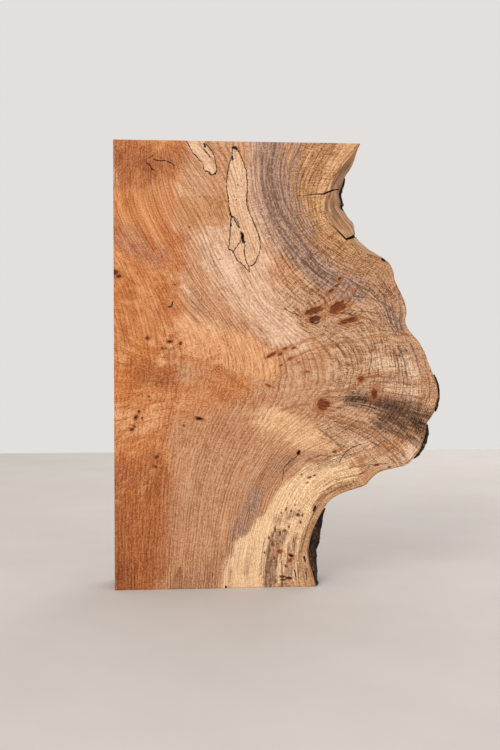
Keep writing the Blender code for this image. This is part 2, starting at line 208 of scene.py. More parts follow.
# The wood's tones, laid one over another. Each is a colour and soft strokes: a line, the half width of
# full colour, how far it fades beyond, and its strength.
BASE_TONE = (0.53, 0.262, 0.132)
TONES = [
    {"name": "heart_orange", "colour": (0.550, 0.208, 0.073), "strokes": [
        ([(2, 95), (4, 130), (6, 160), (8, 200), (10, 240), (14, 275)], 22, 34, 1.0),
        ([(30, 215), (35, 245)], 12, 16, 0.6), ([(10, 305), (34, 318)], 14, 18, 0.55),
        ([(48, 215), (60, 195), (75, 185)], 8, 14, 0.6), ([(55, 152), (96, 162)], 7, 14, 0.7),
        ([(68, 130), (98, 130)], 6, 16, 0.2), ([(15, 353), (50, 353)], 4, 6, 0.9),
    ]},
    {"name": "burnt_orange", "colour": (0.53, 0.172, 0.042), "strokes": [
        ([(1, 150), (8, 160), (18, 178), (22, 190)], 5, 11, 0.7),
        ([(52, 196), (66, 182), (78, 178)], 2, 8, 0.4), ([(40, 140), (50, 158)], 3, 9, 0.25),
        ([(2, 236), (14, 241)], 2, 6, 0.5), ([(12, 112), (30, 108)], 2, 8, 0.35),
        ([(84, 174), (98, 168)], 3, 7, 0.45),
    ]},
    {"name": "heart_red", "colour": (0.37, 0.114, 0.036), "strokes": [
        ([(4, 0), (8, 30), (10, 60), (11, 78)], 16, 22, 1.0),
        ([(28, 20), (30, 60), (30, 84)], 6, 22, 0.6), ([(2, 345), (24, 340)], 8, 12, 0.85),
        ([(20, 328), (38, 333), (50, 342)], 6, 10, 0.75), ([(0, 322), (12, 330)], 4, 8, 0.5),
        ([(24, 172), (40, 170)], 5, 10, 0.9), ([(1, 251)], 2.0, 4, 0.45),
        ([(30, 106), (36, 98)], 3, 6, 0.6), ([(82, 158), (104, 152), (120, 147)], 3, 7, 0.4),
        ([(8, 234), (17, 237)], 1, 4, 0.5), ([(24, 190), (40, 178)], 3, 7, 0.3),
    ]},
    {"name": "plum", "colour": (0.44, 0.178, 0.085), "strokes": [
        ([(0, 284), (14, 277), (34, 266)], 5, 11, 0.95), ([(84, 130), (100, 122)], 4, 12, 0.45),
        ([(30, 212), (44, 222)], 3, 8, 0.3),
    ]},
    {"name": "deep_red", "colour": (0.24, 0.066, 0.02), "strokes": [
        ([(2, 0), (5, 16)], 6, 16, 0.5), ([(32, 169), (39, 167)], 3, 6, 0.3),
        ([(24, 336), (34, 334)], 3, 6, 0.5), ([(49, 0), (50, 14)], 1.5, 5, 0.7),
        ([(0, 84), (20, 83)], 2, 8, 0.25),
    ]},
    {"name": "low_brown", "colour": (0.40, 0.192, 0.098), "strokes": [
        ([(58, -2), (76, 8), (92, 16)], 8, 18, 0.65), ([(70, 60), (80, 100), (96, 118)], 6, 16, 0.25),
        ([(98, 36), (104, 52), (111, 74), (126, 94), (138, 102)], 4, 9, 0.7),
    ]},
    {"name": "light_orange", "colour": (0.69, 0.328, 0.148), "strokes": [
        ([(52, 205), (75, 196), (100, 190), (118, 180)], 8, 12, 0.9), ([(0, 140), (12, 136)], 5, 8, 0.85),
        ([(26, 130), (34, 143)], 4, 7, 0.55), ([(24, 290), (40, 300), (44, 314)], 6, 12, 0.25),
        ([(30, 198), (36, 198)], 1.5, 4, 0.6), ([(38, 182), (42, 190), (50, 186)], 2, 5, 0.7),
        ([(86, 180), (98, 172)], 2, 4, 0.5), ([(4, 182), (10, 190)], 2, 5, 0.5),
        ([(14, 154), (24, 160)], 2, 5, 0.35), ([(48, 152), (60, 150)], 3, 7, 0.4),
        ([(6, 120), (20, 124)], 2, 5, 0.35),
    ]},
    {"name": "honey", "colour": (0.75, 0.436, 0.235), "strokes": [
        ([(122, 136), (135, 131), (152, 121), (172, 117)], 4, 14, 0.8),
        ([(60, 215), (80, 208)], 3, 8, 0.4),
    ]},
    {"name": "pale", "colour": (0.725, 0.458, 0.305), "strokes": [
        ([(84, 272), (98, 250), (113, 235), (130, 214)], 8, 22, 0.68),
        ([(62, 340), (66, 318), (74, 312)], 4, 10, 0.2), ([(98, 236), (116, 222)], 6, 10, 0.2),
        ([(135, 205), (150, 196)], 5, 10, 0.6), ([(118, 262), (112, 280), (112, 300)], 5, 9, 0.6),
        ([(50, 248), (62, 236)], 3, 8, 0.35), ([(82, 264), (86, 248)], 4, 10, 0.5),
        ([(46, 286), (54, 300), (50, 320)], 1.5, 5, 0.3),
    ]},
    {"name": "amber", "colour": (0.50, 0.228, 0.098), "strokes": [
        ([(55, 307), (92, 309)], 3.5, 2.5, 0.9), ([(57, 299), (70, 300), (90, 301)], 5, 3, 0.75),
        ([(62, 293), (76, 294), (84, 292)], 3, 3, 0.55),
    ]},
    {"name": "ochre", "colour": (0.46, 0.232, 0.104), "strokes": [
        ([(160, 356), (155, 335), (153, 318), (156, 301), (166, 288), (180, 277), (196, 266),
         (212, 259)], 11, 8, 1.0),
    ]},
    {"name": "straw", "colour": (0.62, 0.345, 0.17), "strokes": [
        ([(186, 354), (178, 343), (171, 331), (166, 318), (164, 305), (168, 295)], 2.5, 6, 0.75),
        ([(156, 350), (152, 338)], 1, 4, 0.4), ([(180, 284), (190, 274)], 1, 4, 0.4),
    ]},
    {"name": "burl_tan", "colour": (0.53, 0.298, 0.170), "strokes": [
        ([(172, 232), (196, 208), (208, 185), (208, 160), (195, 140)], 22, 20, 0.85),
        ([(150, 160), (180, 165)], 10, 14, 0.5), ([(228, 215), (246, 180), (250, 150)], 10, 16, 0.6),
    ]},
    {"name": "grey_pale", "colour": (0.56, 0.345, 0.235), "strokes": [
        ([(112, 356), (111, 335), (112, 318), (116, 300), (122, 286), (132, 271)], 3, 6, 0.75),
        ([(146, 100), (156, 98), (166, 101)], 1, 5, 0.4), ([(103, 84), (112, 96)], 1, 6, 0.4),
    ]},
    {"name": "grey", "colour": (0.375, 0.222, 0.157), "strokes": [
        ([(123, 356), (124, 335), (126, 318), (130, 300), (137, 285), (146, 271), (158, 258), (172, 246),
         (190, 238)], 7, 8, 0.8),
        ([(146, 350), (141, 335), (141, 315), (147, 300), (158, 286)], 3, 5, 0.55),
        ([(190, 240), (210, 232), (226, 214)], 5, 12, 0.28), ([(232, 158), (242, 144)], 3, 8, 0.4),
        ([(103, 46), (107, 60), (112, 74)], 3, 9, 0.55), ([(99, 30), (102, 44)], 1, 5, 0.5),
        ([(232, 190), (236, 170)], 1.5, 5, 0.5), ([(60, 230), (68, 222)], 2, 5, 0.3),
        ([(72, 270), (80, 258)], 2, 6, 0.35), ([(198, 258), (218, 246)], 5, 9, 0.3),
        ([(218, 222), (228, 208)], 2, 6, 0.5),
    ]},
    {"name": "cream", "colour": (0.83, 0.545, 0.308), "strokes": [
        ([(96, -2), (99, 15), (104, 30)], 8, 8, 0.95), ([(110, 30), (121, 46)], 8, 7, 0.95),
        ([(128, 46), (137, 62), (148, 76), (161, 87), (182, 94)], 11.5, 5, 1.0),
        ([(112, 0), (130, 30), (146, 52)], 12, 8, 0.85), ([(146, 4), (146, 30)], 6, 6, 0.5),
    ]},
    {"name": "leg_grey", "colour": (0.41, 0.226, 0.136), "strokes": [
        ([(124, -2), (123, 12), (126, 30), (133, 43)], 1.8, 7, 0.8),
        ([(130, 54), (140, 58), (146, 60)], 1.5, 4, 0.6),
        ([(136, -2), (139, 14), (142, 30), (144, 40)], 1.5, 4, 0.6),
        ([(92, 30), (95, 50), (100, 62)], 1.5, 6, 0.5), ([(91, 0), (92, 16)], 0.8, 3, 0.4),
        ([(104, 12), (107, 28)], 0.8, 3, 0.45), ([(158, 96), (168, 100), (186, 104)], 2, 6, 0.5),
        ([(134, 97), (148, 104), (168, 108)], 2, 7, 0.35),
    ]},
    {"name": "rim_tan", "colour": (0.50, 0.270, 0.134), "strokes": [
        ([(200, 83), (186, 80), (176, 76), (168, 69), (162, 59), (157, 48), (153, 38), (151, 24),
         (154, 8), (157, -2)], 2.8, 3.0, 0.85),
        ([(228, 98), (212, 95), (202, 89)], 3, 6, 0.5),
    ]},
    {"name": "bleached", "colour": (0.74, 0.50, 0.33), "strokes": [
        ([(234, 182), (241, 172)], 2.5, 5, 0.9), ([(206, 182), (222, 178)], 2, 6, 0.7),
        ([(233, 104), (242, 112)], 4, 5, 0.8), ([(190, 115), (202, 110)], 3, 6, 0.5),
        ([(206, 101), (224, 101)], 3, 5, 0.5), ([(222, 160), (240, 156)], 3, 4, 0.7),
    ]},
    {"name": "burl_shade", "colour": (0.100, 0.048, 0.026), "strokes": [
        ([(222, 140), (234, 137), (247, 132)], 5, 15, 1.0),
        ([(190, 152), (206, 147), (222, 142)], 1.5, 10, 1.0), ([(232, 128), (245, 120)], 3, 10, 0.8),
        ([(205, 240), (224, 236)], 1.5, 7, 0.3), ([(210, 134), (224, 124)], 0.5, 7, 0.6),
    ]},
]  # fmt: skip
# These tones show only in spokes along the rays: where that noise goes from the first level, where
# nothing shows, to the second.
SPOKED = {"burl_shade": (0.70, 0.43), "bleached": (0.34, 0.50)}
# Where the figure is livelier than on the rest of the face.
LIVELY = [
    ([(168, 356), (160, 330), (158, 305), (172, 284), (205, 262)], 12, 12, 0.65),
    ([(165, 240), (196, 215), (212, 185), (212, 160), (195, 135)], 26, 18, 1.0),
    ([(225, 225), (246, 185), (250, 150), (238, 115)], 18, 10, 1.0),
    ([(125, 300), (150, 270)], 12, 10, 0.5), ([(132, 0), (140, 40), (156, 76), (190, 96)], 10, 10, 0.5),
]

# Streaks in the figure: a colour, a strength, and each line's points and half width.
STREAKS = [
    {"name": "dark_ring", "colour": (0.135, 0.078, 0.056), "strength": 0.85, "lines": [
        ([(128, 356), (126, 345), (125, 330), (127, 318), (131, 303), (137, 293), (145, 283), (151, 275),
         (157, 266), (163, 257), (172, 249), (182, 244)], 1.05),
        ([(149, 356), (145, 347), (141, 340), (139, 330), (139, 320), (140, 308), (144, 300), (150, 288),
         (160, 276), (172, 266)], 0.5),
        ([(118, 347), (117, 330), (119, 315), (124, 300), (131, 286), (141, 272), (152, 260),
         (165, 249)], 0.8),
        ([(136, 352), (132, 335), (133, 320), (137, 306), (144, 294)], 0.6),
        ([(133, 356), (129, 340), (129, 322), (134, 300)], 0.3),
        ([(122, 340), (121, 325), (124, 308), (129, 294), (138, 281), (147, 270)], 0.55),
        ([(112, 345), (112, 325), (115, 305), (121, 290)], 0.35),
        ([(144, 292), (152, 282), (163, 271), (178, 261), (190, 255)], 0.5),
        ([(142, 356), (137, 345), (135, 330), (136, 318)], 0.35),
        ([(150, 263), (160, 253), (174, 243)], 0.7),
        ([(228, 236), (230, 222), (229, 214), (232, 204)], 0.8),
        ([(222, 232), (224, 218), (228, 206)], 0.7), ([(216, 236), (218, 224), (222, 212)], 0.6),
        ([(238, 196), (243, 184), (246, 172)], 0.6),
    ]},
    {"name": "dark_grain", "colour": (0.12, 0.058, 0.034), "strength": 0.75, "lines": [
        ([(176, 133.4), (190, 129.6), (200, 125), (210, 119), (219, 111), (227, 102.5), (232, 98)], 0.5),
        ([(178, 130), (190, 126), (200, 120.6), (210, 114.4), (218, 107.4), (225, 100)], 0.6),
        ([(164, 127), (172, 121), (181, 113)], 0.8),
        ([(163, 149.5), (166, 152), (170, 153), (177, 152.6)], 0.6),
        ([(199, 169), (212, 169.6), (224, 168)], 0.8), ([(212, 165), (226, 165), (238, 162.5)], 0.7),
        ([(211, 158), (228, 155), (249, 151)], 0.4), ([(214, 152.6), (230, 149), (246, 146.5)], 0.6),
        ([(206, 149.5), (222, 147.5), (240, 143)], 0.8), ([(212, 144.5), (228, 141), (246, 137)], 0.7),
        ([(210, 140), (224, 133), (240, 129)], 0.7), ([(204, 136), (218, 127), (232, 119)], 0.7),
        ([(198, 134), (212, 124), (226, 112), (234, 104)], 0.6),
        ([(190, 82.5), (180, 80), (172, 76), (165, 70)], 0.7),
        ([(163, 66), (160, 61), (156, 52), (152, 40), (149, 28)], 0.6),
        ([(147, 18), (147, 6), (149, -2)], 0.6), ([(167, 81), (176, 86), (190, 89), (202, 92)], 0.45),
        ([(176, 92), (190, 96), (206, 98), (220, 99)], 0.5),
        ([(126, 44), (123, 30), (121, 12), (120, -2)], 0.9), ([(131, 36), (129, 20), (128, 4)], 0.8),
        ([(120, 40), (117.4, 26), (116.6, 10)], 0.4),
        ([(134.6, 40), (133, 26), (134, 8), (133, -2)], 0.6), ([(139, 36), (138, 22), (139.4, 6)], 0.5),
        ([(124.6, 24), (123.4, 10), (124, -2)], 0.8), ([(129, 52), (127, 44), (126, 36)], 0.6),
        ([(146, 44), (143.6, 34), (142.6, 22)], 0.4), ([(101, 40), (103.6, 54), (108, 66)], 0.4),
        ([(92.6, 24), (94, 40), (98, 56)], 0.35), ([(150, 40), (147, 24), (146, 10)], 0.3),
        ([(212, 207), (228, 205), (236, 203)], 0.6), ([(196, 222), (212, 220), (226, 214)], 0.5),
        ([(190, 234), (206, 232), (220, 226)], 0.6), ([(180, 220), (196, 218), (208, 214)], 0.5),
        ([(206, 196), (206, 184), (204, 172)], 0.5), ([(228, 194), (233, 182), (235, 170)], 0.7),
        ([(222, 196), (227, 184), (229, 172)], 0.6), ([(170, 104.5), (178, 106), (190, 106)], 0.5),
        ([(152, 101), (160, 105), (170, 106.4)], 0.5),
    ]},
    {"name": "orange_ray", "colour": (0.38, 0.125, 0.028), "strength": 0.75, "lines": [
        ([(132, 178), (140, 184), (150, 188), (160, 192), (172, 194.5), (185, 197.5), (195, 199.5),
         (205, 201), (220, 202), (236, 203)], 0.7),
        ([(162, 141), (170, 138), (178, 135.5), (186, 132.5), (196, 129), (206, 124.5), (215, 117),
         (223, 108), (230, 101)], 0.7),
        ([(170, 157.5), (182, 158.5), (192, 160.5), (197, 165)], 1.0),
        ([(209, 157.5), (222, 156), (236, 154), (251, 151.5)], 0.5),
        ([(209, 161), (222, 160.6), (238, 160.4)], 0.4), ([(209, 153), (222, 151), (234, 149)], 0.4),
        ([(134, 143), (145, 146), (156, 147.5)], 0.9), ([(157, 101), (163, 102), (171, 103)], 0.9),
        ([(190, 98), (196, 101), (202, 104)], 1.8), ([(192, 106), (200, 110), (206, 110)], 0.9),
        ([(184, 210), (194, 210.4)], 0.8), ([(183, 226), (192, 228)], 0.9),
        ([(121, 163), (127, 161)], 0.9), ([(197, 167.6), (214, 170)], 0.8),
        ([(122, 185), (132, 190), (146, 196), (160, 200)], 1.2),
        ([(165, 232), (174, 240), (183, 248)], 0.6), ([(159, 142), (166, 143.5)], 1.6),
        ([(176, 248), (190, 254), (206, 259)], 0.6), ([(170, 236), (184, 238), (200, 242)], 0.6),
        ([(150, 183), (164, 184), (178, 184)], 0.5), ([(170, 79), (176, 82), (182, 84)], 0.8),
        ([(163, 70), (168, 76), (173, 80)], 0.9), ([(201, 104), (212, 106), (222, 104)], 0.3),
        ([(176, 143.6), (186, 141), (196, 136), (204, 131)], 0.6),
        ([(93, 168), (100, 163), (108, 159)], 0.7), ([(66, 128), (72, 118), (76, 108)], 0.5),
    ]},
    {"name": "pale_ray", "colour": (0.70, 0.46, 0.29), "strength": 0.4, "lines": [
        ([(173, 147.5), (182, 146), (192, 143), (200, 139)], 1.4),
        ([(176, 143), (186, 140.5), (196, 136), (206, 130)], 0.9),
        ([(212, 112), (220, 106), (227, 100.5)], 0.7), ([(150, 310), (154, 303)], 0.9),
        ([(226, 236), (231, 226), (233, 218)], 0.9), ([(82, 293), (78, 300), (80, 308), (90, 311)], 0.4),
        ([(74, 296), (73, 306), (80, 313)], 0.3), ([(134, 70), (142, 80), (156, 90)], 0.8),
        ([(176, 299), (186, 289)], 1.2), ([(139, 10), (141, 24)], 0.9), ([(133, 24), (136, 38)], 0.6),
        ([(236, 196), (240, 186), (243, 176)], 0.6), ([(95, 2), (96, 16), (99, 30)], 0.8),
        ([(90, 0), (91, 12), (93, 24)], 0.5),
    ]},
    {"name": "saw_trace", "colour": (0.33, 0.125, 0.055), "strength": 0.3, "lines": [
        ([(46.3, 357), (46.3, -2)], 0.35), ([(18.4, 357), (18.4, 240)], 0.3),
        ([(118, 290), (118, 120)], 0.25), ([(33, 357), (33, 300)], 0.25),
    ]},
]  # fmt: skip
STREAK_LAYERS = 2  # each layer knows only its nearest line, so near neighbours lie on different ones
STREAK_MARGIN = 6.0  # how far round a line its offset is written

# Pale patches of spalted wood, and the thin black zone lines that bound and cross them.
SPALT_TONE, SPALT_EDGE = (0.685, 0.425, 0.258), (0.3, 0.7)
SPALT_LONG = [
    (95.5, 352.5), (98, 350), (100, 345), (102, 341), (103.5, 336), (104.8, 333), (105.3, 325),
    (105.5, 315), (105, 308), (106.5, 302), (109, 296), (111.5, 290), (114, 284.5), (115.6, 279),
    (116.2, 274), (115, 268), (113.4, 264), (111.8, 260), (109.5, 258.2), (107.2, 257.3), (107.6, 252),
    (105.3, 255.3), (103, 257.5), (100.3, 260.2), (98, 261.4), (96, 265), (94.6, 268.6), (92.6, 270.2),
    (91, 270.2), (91.2, 276), (92, 286), (92.5, 292), (92.4, 299), (91.2, 305), (90.6, 311), (89.2, 320),
    (89.8, 328), (91.2, 338), (93.4, 344), (94, 350),
]  # fmt: skip
SPALT_SHORT = [
    (57, 357), (60, 351), (62, 347), (65, 344), (68, 340.5), (70.4, 338), (71, 334), (73, 331.6),
    (75, 332.4), (76, 330), (77, 329), (78, 331), (79.5, 329), (81.1, 332), (81, 336), (80.2, 340),
    (79, 345), (77, 349), (75, 351), (73, 353.5), (72, 357),
]  # fmt: skip
# Each black or dark line: its points and its half width.
ZONE_LINES = [
    (SPALT_LONG + SPALT_LONG[:1], 0.34),
    (SPALT_SHORT, 0.34),
]
INNER_LINES = [
    ([(103.6, 275), (103.3, 268), (104, 264), (105.2, 260), (107.2, 257.3)], 0.33),
    ([(101, 278), (98.5, 274.5), (95.5, 270.5), (94, 268)], 0.3),
    ([(94, 297), (95.8, 293.5), (97.4, 290), (99.4, 287), (98.6, 291), (96.6, 295), (94, 297)], 0.32),
    ([(94, 350.5), (96, 352), (97, 350)], 0.9), ([(92.3, 299), (92.9, 296.5)], 0.7),
    ([(92.4, 292), (92.6, 289.5)], 0.6), ([(93.8, 344), (94.2, 341.5)], 0.6),
    ([(91.4, 270.6), (93, 269.8)], 0.6),
    ([(101, 283.5), (102.2, 281), (101.8, 278.6), (103.4, 276)], 1.05),
    ([(71, 350), (73, 347), (75, 345), (75.8, 343)], 0.38), ([(71.4, 354), (72.3, 351.6)], 0.8),
    ([(97.5, 323), (98.6, 322.4), (98.2, 320.8), (97.4, 321.6), (97.5, 323)], 0.25),
    ([(46.5, 229), (45.8, 226.4), (44.4, 224.6), (42.2, 224.8)], 0.48),
    ([(61, 230), (64, 226), (70, 221), (75, 216)], 0.12),
    ([(135, 224), (140, 221), (144, 220), (149, 217)], 0.3),
    ([(31, 344), (32, 341), (35, 340), (40, 340), (45, 338.5), (48, 336)], 0.4),
    ([(26, 338), (29, 336), (30, 333), (33, 332)], 0.45), ([(25, 341), (30, 343)], 0.25),
    ([(143, 313), (150, 313.8)], 0.14), ([(156, 215), (158, 216.6), (160, 218)], 0.3),
    ([(155.6, 213.4), (158, 212.4), (161, 212.3), (163, 213.2)], 0.5),
    ([(148, 110), (145, 105), (140, 101), (136, 97), (134.5, 92), (134, 86)], 0.22),
    ([(180, 100), (182, 104), (186, 109), (192, 113), (198, 115)], 0.3),
    ([(175, 108.6), (178, 108.4)], 0.5), ([(143.5, 14), (144.4, 11), (145.2, 8)], 0.45),
    ([(132, 6.4), (136, 6), (138, 8), (142, 6.6)], 0.4), ([(153, 15), (154, 5)], 0.3),
    ([(151.6, 24.5), (152.4, 21)], 0.7), ([(160.6, 65), (159.4, 61.6)], 0.8),
    ([(163, 75), (166, 76.5), (171, 79)], 0.2), ([(88.4, 1.2), (88.6, 0)], 0.9),
]  # fmt: skip

# Knots and flecks: centre, half length, half width, slant in degrees, and sort. EYE is a streaked
# red-brown knot, RINGED a small eye of thin rings, PIN has a dark heart and FLECK is a dark brown mark.
RINGED, EYE, PIN, FLECK = -1.0, 0.0, 1.0, 2.0
KNOTS = [
    (159, 222.4, 7.6, 2.6, 22, EYE), (160, 215.9, 5.0, 2.5, 15, EYE), (178.3, 225, 7.0, 4.2, 32, EYE),
    (187.6, 214.4, 7.6, 2.1, 15, EYE), (167, 147, 5.2, 4.4, -20, EYE), (208.5, 155.5, 2.5, 4.5, 0, EYE),
    (197.3, 167.5, 2.5, 2.5, 0, EYE), (83, 175.5, 3.2, 2.8, 0, RINGED), (94, 169.5, 2.3, 1.9, 20, RINGED),
    (173, 238.5, 2.6, 1.2, 30, EYE), (177.5, 242.5, 3.0, 0.9, 25, FLECK), (180, 248, 1.9, 1.0, 35, PIN),
    (125, 187, 4.3, 1.1, 28, EYE), (132, 187.6, 2.0, 1.1, 20, EYE), (136, 192, 1.8, 1.0, 25, EYE),
    (143, 192.5, 1.8, 1.0, 25, EYE), (140, 184, 2.0, 1.0, 20, EYE), (133, 178.5, 1.4, 0.8, 10, EYE),
    (154, 173.5, 1.5, 0.8, 0, EYE), (122.5, 162.5, 2.2, 0.9, -20, EYE), (147, 181, 1.2, 0.6, 20, EYE),
    (26.5, 200.3, 2.1, 1.6, 0, PIN), (44, 197.6, 2.4, 1.3, 0, PIN), (52.4, 196.2, 1.7, 1.4, 30, PIN),
    (38, 192.5, 1.3, 1.0, 20, PIN), (42, 186.5, 2.4, 1.5, 80, RINGED),
    (47.5, 186.5, 2.2, 1.5, 70, RINGED), (45, 191.6, 2.4, 1.1, 10, RINGED), (39.5, 185, 0.7, 0.6, 0, PIN),
    (17.2, 137.6, 2.4, 1.6, 60, PIN), (19.5, 142.3, 1.2, 0.9, 40, PIN), (16, 130.4, 1.3, 0.9, -30, PIN),
    (14, 128, 1.8, 1.2, 20, EYE), (27.5, 154, 0.8, 0.7, 0, PIN), (28, 151, 0.6, 0.5, 0, PIN),
    (67.2, 136.2, 3.6, 1.3, -12, PIN), (33.5, 106, 2.2, 1.4, 20, PIN), (32, 98.5, 2.2, 1.4, -30, PIN),
    (37, 97, 1.0, 0.8, 0, PIN), (38, 265, 0.6, 0.6, 0, PIN), (1, 252, 2.6, 2.2, 0, PIN),
    (4, 249, 1.9, 1.4, 0, PIN), (48, 242.5, 0.7, 0.7, 0, PIN), (68, 312, 0.9, 0.5, 0, FLECK),
    (165, 351, 0.6, 0.6, 0, PIN), (27.5, 337, 2.0, 1.0, 30, PIN), (137, 63, 0.8, 1.6, -15, FLECK),
    (141, 61.5, 0.8, 1.3, -10, FLECK), (146.5, 58.2, 1.4, 1.5, 0, FLECK),
    (148.5, 52.5, 0.8, 1.3, 0, FLECK), (128, 46.6, 0.8, 2.0, 10, FLECK), (132, 43.5, 0.8, 1.9, 0, FLECK),
    (136, 45.5, 0.8, 1.4, -20, FLECK), (126, 35, 0.9, 1.8, 0, EYE), (132, 29, 2.1, 1.4, 0, EYE),
    (119.5, 28, 0.7, 1.1, 0, FLECK), (141, 25.6, 2.4, 1.1, -25, PIN), (140.4, 21.8, 2.0, 1.3, 60, EYE),
    (134, 8.6, 2.4, 1.0, 0, EYE), (139.5, 7.2, 2.0, 0.9, 0, EYE), (149, 91, 0.9, 0.6, 20, FLECK),
    (156, 88.4, 1.9, 0.8, 20, FLECK), (160, 90, 1.5, 0.7, 20, FLECK), (154, 84, 1.1, 0.6, 30, FLECK),
    (147, 108.3, 1.6, 2.4, -20, FLECK), (210, 98, 1.9, 0.9, 20, EYE), (221, 96.2, 1.4, 0.7, 0, FLECK),
    (101.8, 280.6, 2.8, 1.5, 75, FLECK), (215.6, 264, 2.9, 2.1, -50, FLECK), (55, 131, 1.0, 0.6, 0, EYE),
    (97, 310, 0.5, 0.5, 0, FLECK), (22, 137, 1.3, 0.8, 70, EYE), (157, 223.4, 3.4, 0.35, 24, FLECK),
    (161.5, 221.2, 3.0, 0.35, 22, FLECK), (176, 223, 3.2, 0.45, 34, FLECK),
    (181, 226.6, 2.8, 0.4, 34, FLECK), (183.5, 221.5, 2.6, 0.4, 30, FLECK),
    (189.4, 215.4, 2.6, 0.6, 15, FLECK), (184, 212.8, 2.4, 0.4, 12, FLECK),
    (165.4, 148.6, 1.4, 0.8, 40, PIN), (169, 145.4, 1.6, 0.4, -30, FLECK),
    (208.2, 156.6, 0.5, 2.2, -8, FLECK), (197, 168, 0.9, 0.5, 30, FLECK),
    (124, 186.6, 2.2, 0.35, 28, FLECK), (211.6, 97.8, 1.4, 0.4, 15, FLECK),
    (204, 96.4, 1.2, 0.35, 10, FLECK), (163, 99.2, 1.2, 0.35, 5, FLECK), (176, 108.8, 0.7, 0.6, 0, PIN),
    (133, 60, 0.6, 0.8, 0, FLECK), (144, 66, 0.6, 0.7, 0, FLECK), (123, 40, 0.7, 1.6, 5, FLECK),
    (139, 48.6, 0.7, 1.0, 0, FLECK), (150, 58, 0.7, 1.4, -10, FLECK), (143, 38, 0.6, 1.3, 0, FLECK),
    (127, 24, 0.6, 1.2, 0, FLECK), (136.5, 17, 0.8, 1.4, 10, FLECK), (251, 187, 0.8, 0.7, 0, FLECK),
    (84, 263, 0.5, 0.5, 0, FLECK), (60, 288, 0.5, 0.5, 0, FLECK),
]  # fmt: skip
KNOT_LAYERS, LINE_LAYERS = 3, 2
LINE_STEP = 1.5  # millimetres from point to point of a drawn line
KNOT_ROOM = 7.0  # knots nearer than this lie on different layers
KNOT_REACH = 3.5  # how far from a knot its offset is written, in knot sizes
LARGE_KNOT = 4.0  # growth rings part round a knot with more half length times half width than this
KNOT_BEND, BEND_REACH, FULL_BEND = 1.6, 3.0, 4.0  # by how many rings, how far, and from what half width
LEAN_ACROSS, LEAN_UP = 7.0, 6.0  # how far the figure shifts from the show face to the back

CELL = 1.1  # about half the diagonal of the grid's cells
FAR = 99.0  # the distance to a line where none is near
NO_WIDTH = 0.5  # and its half width there
MARK_DEPTH, MARK_FULL = 9.0, 0.2  # small dark marks end this deep, and start to fade at this share
MARK_KINDS = ("Halo", "Body", "Heart", "Rings", "Fleck", "Stripes")
SHALLOW_MARKS = ("Heart", "Fleck", "Rings")

FIELD_UNIT = 100.0  # millimetres to one unit of a field's system, which keeps its numbers even
FIELD_SLACK = 1e-4  # how freely a field may pass its guide lines
CHUNK = 8000  # places worked out at a time
TINY = 1e-9

# The board's map: the show face fills most of it. Each other side has a corner in the strip on the right
# and two scales, across and up, against the show face.
MAP_SIZE = 362.0  # millimetres of the show face to one side of the map
MAP_GAP = 0.006
FACING = 0.7  # how squarely a side faces its way
MAP_SIDES = {
    "back": ((0.755, 0.0), (1 / 3.1, 1 / 3.1)),
    "left": ((0.88, 0.36), (1.0, 0.62)),
    "top": ((0.755, 0.345), (1 / 2.5, -1 / 8)),
    "foot": ((0.755, 0.35), (1 / 2.5, 1 / 20)),
    "natural": ((0.755, 0.36), (1.0, 0.62)),
}

# Growth rings: guide numbers from one to the next, how much they sway, where in a ring the dark late
# wood starts, is full and ends, and how the rings differ in strength.
RING_SPAN, RING_SWAY = 0.92, 1.8
LATE_START, LATE_FULL, LATE_END = 0.48, 0.88, 0.92
RING_STRENGTHS, RING_PATCHY = (0.1, 0.9, 0.45, 1.0), (0.32, 0.58, 0.4, 1.0)
SWAY_SIZES, PATCHY_SIZES, RING_DETAIL = (5.0, 26.0, 14.0), (4.0, 14.0, 12.0), 3.0
STRENGTH_SHIFT = 0.37  # sets a ring's strength apart from its tone
# The grain's noises: sizes across the rings in ring numbers, and along the grain and inward in
# millimetres, then detail and roughness.
GRAIN_NOISES = {
    "Fibre": ((0.48, 14.0, 0.9), 2.0, 0.6),
    "Rays": ((6.0, 1.3, 2.0), 3.0, 0.65),
    "Drift": ((1.5, 13.0, 9.0), 4.0, 0.66),
    "Mottle": ((2.2, 3.6, 4.0), 3.0, 0.65),
    "Crepe": ((0.75, 1.9, 1.2), 1.5, 0.7),
    "Blotch": ((4.5, 15.0, 12.0), 3.0, 0.6),
    "Curl": ((3.2, 4.2, 5.0), 3.0, 0.62),
    "Spokes": ((16.0, 3.6, 6.0), 5.0, 0.78),
}
PORE_SIZES, PORE_DETAIL, PORE_LEVELS = (0.34, 2.6, 0.5), 1.0, (0.56, 0.68)
# Hairs, thin lines where a broad noise crosses its middle: its sizes and their half width.
HAIRS = {"Ring Hair": ((1.7, 30.0, 6.0), 0.05), "Ray Hair": ((13.0, 3.4, 4.0), 0.035)}
HAIR_DETAIL, HAIR_ROUGHNESS = 2.0, 0.55
TEAR = 9.0  # how much the grain tears the edges of tones
TORN_EDGE = (0.2, 0.8)  # and between which weights the torn edge turns crisp

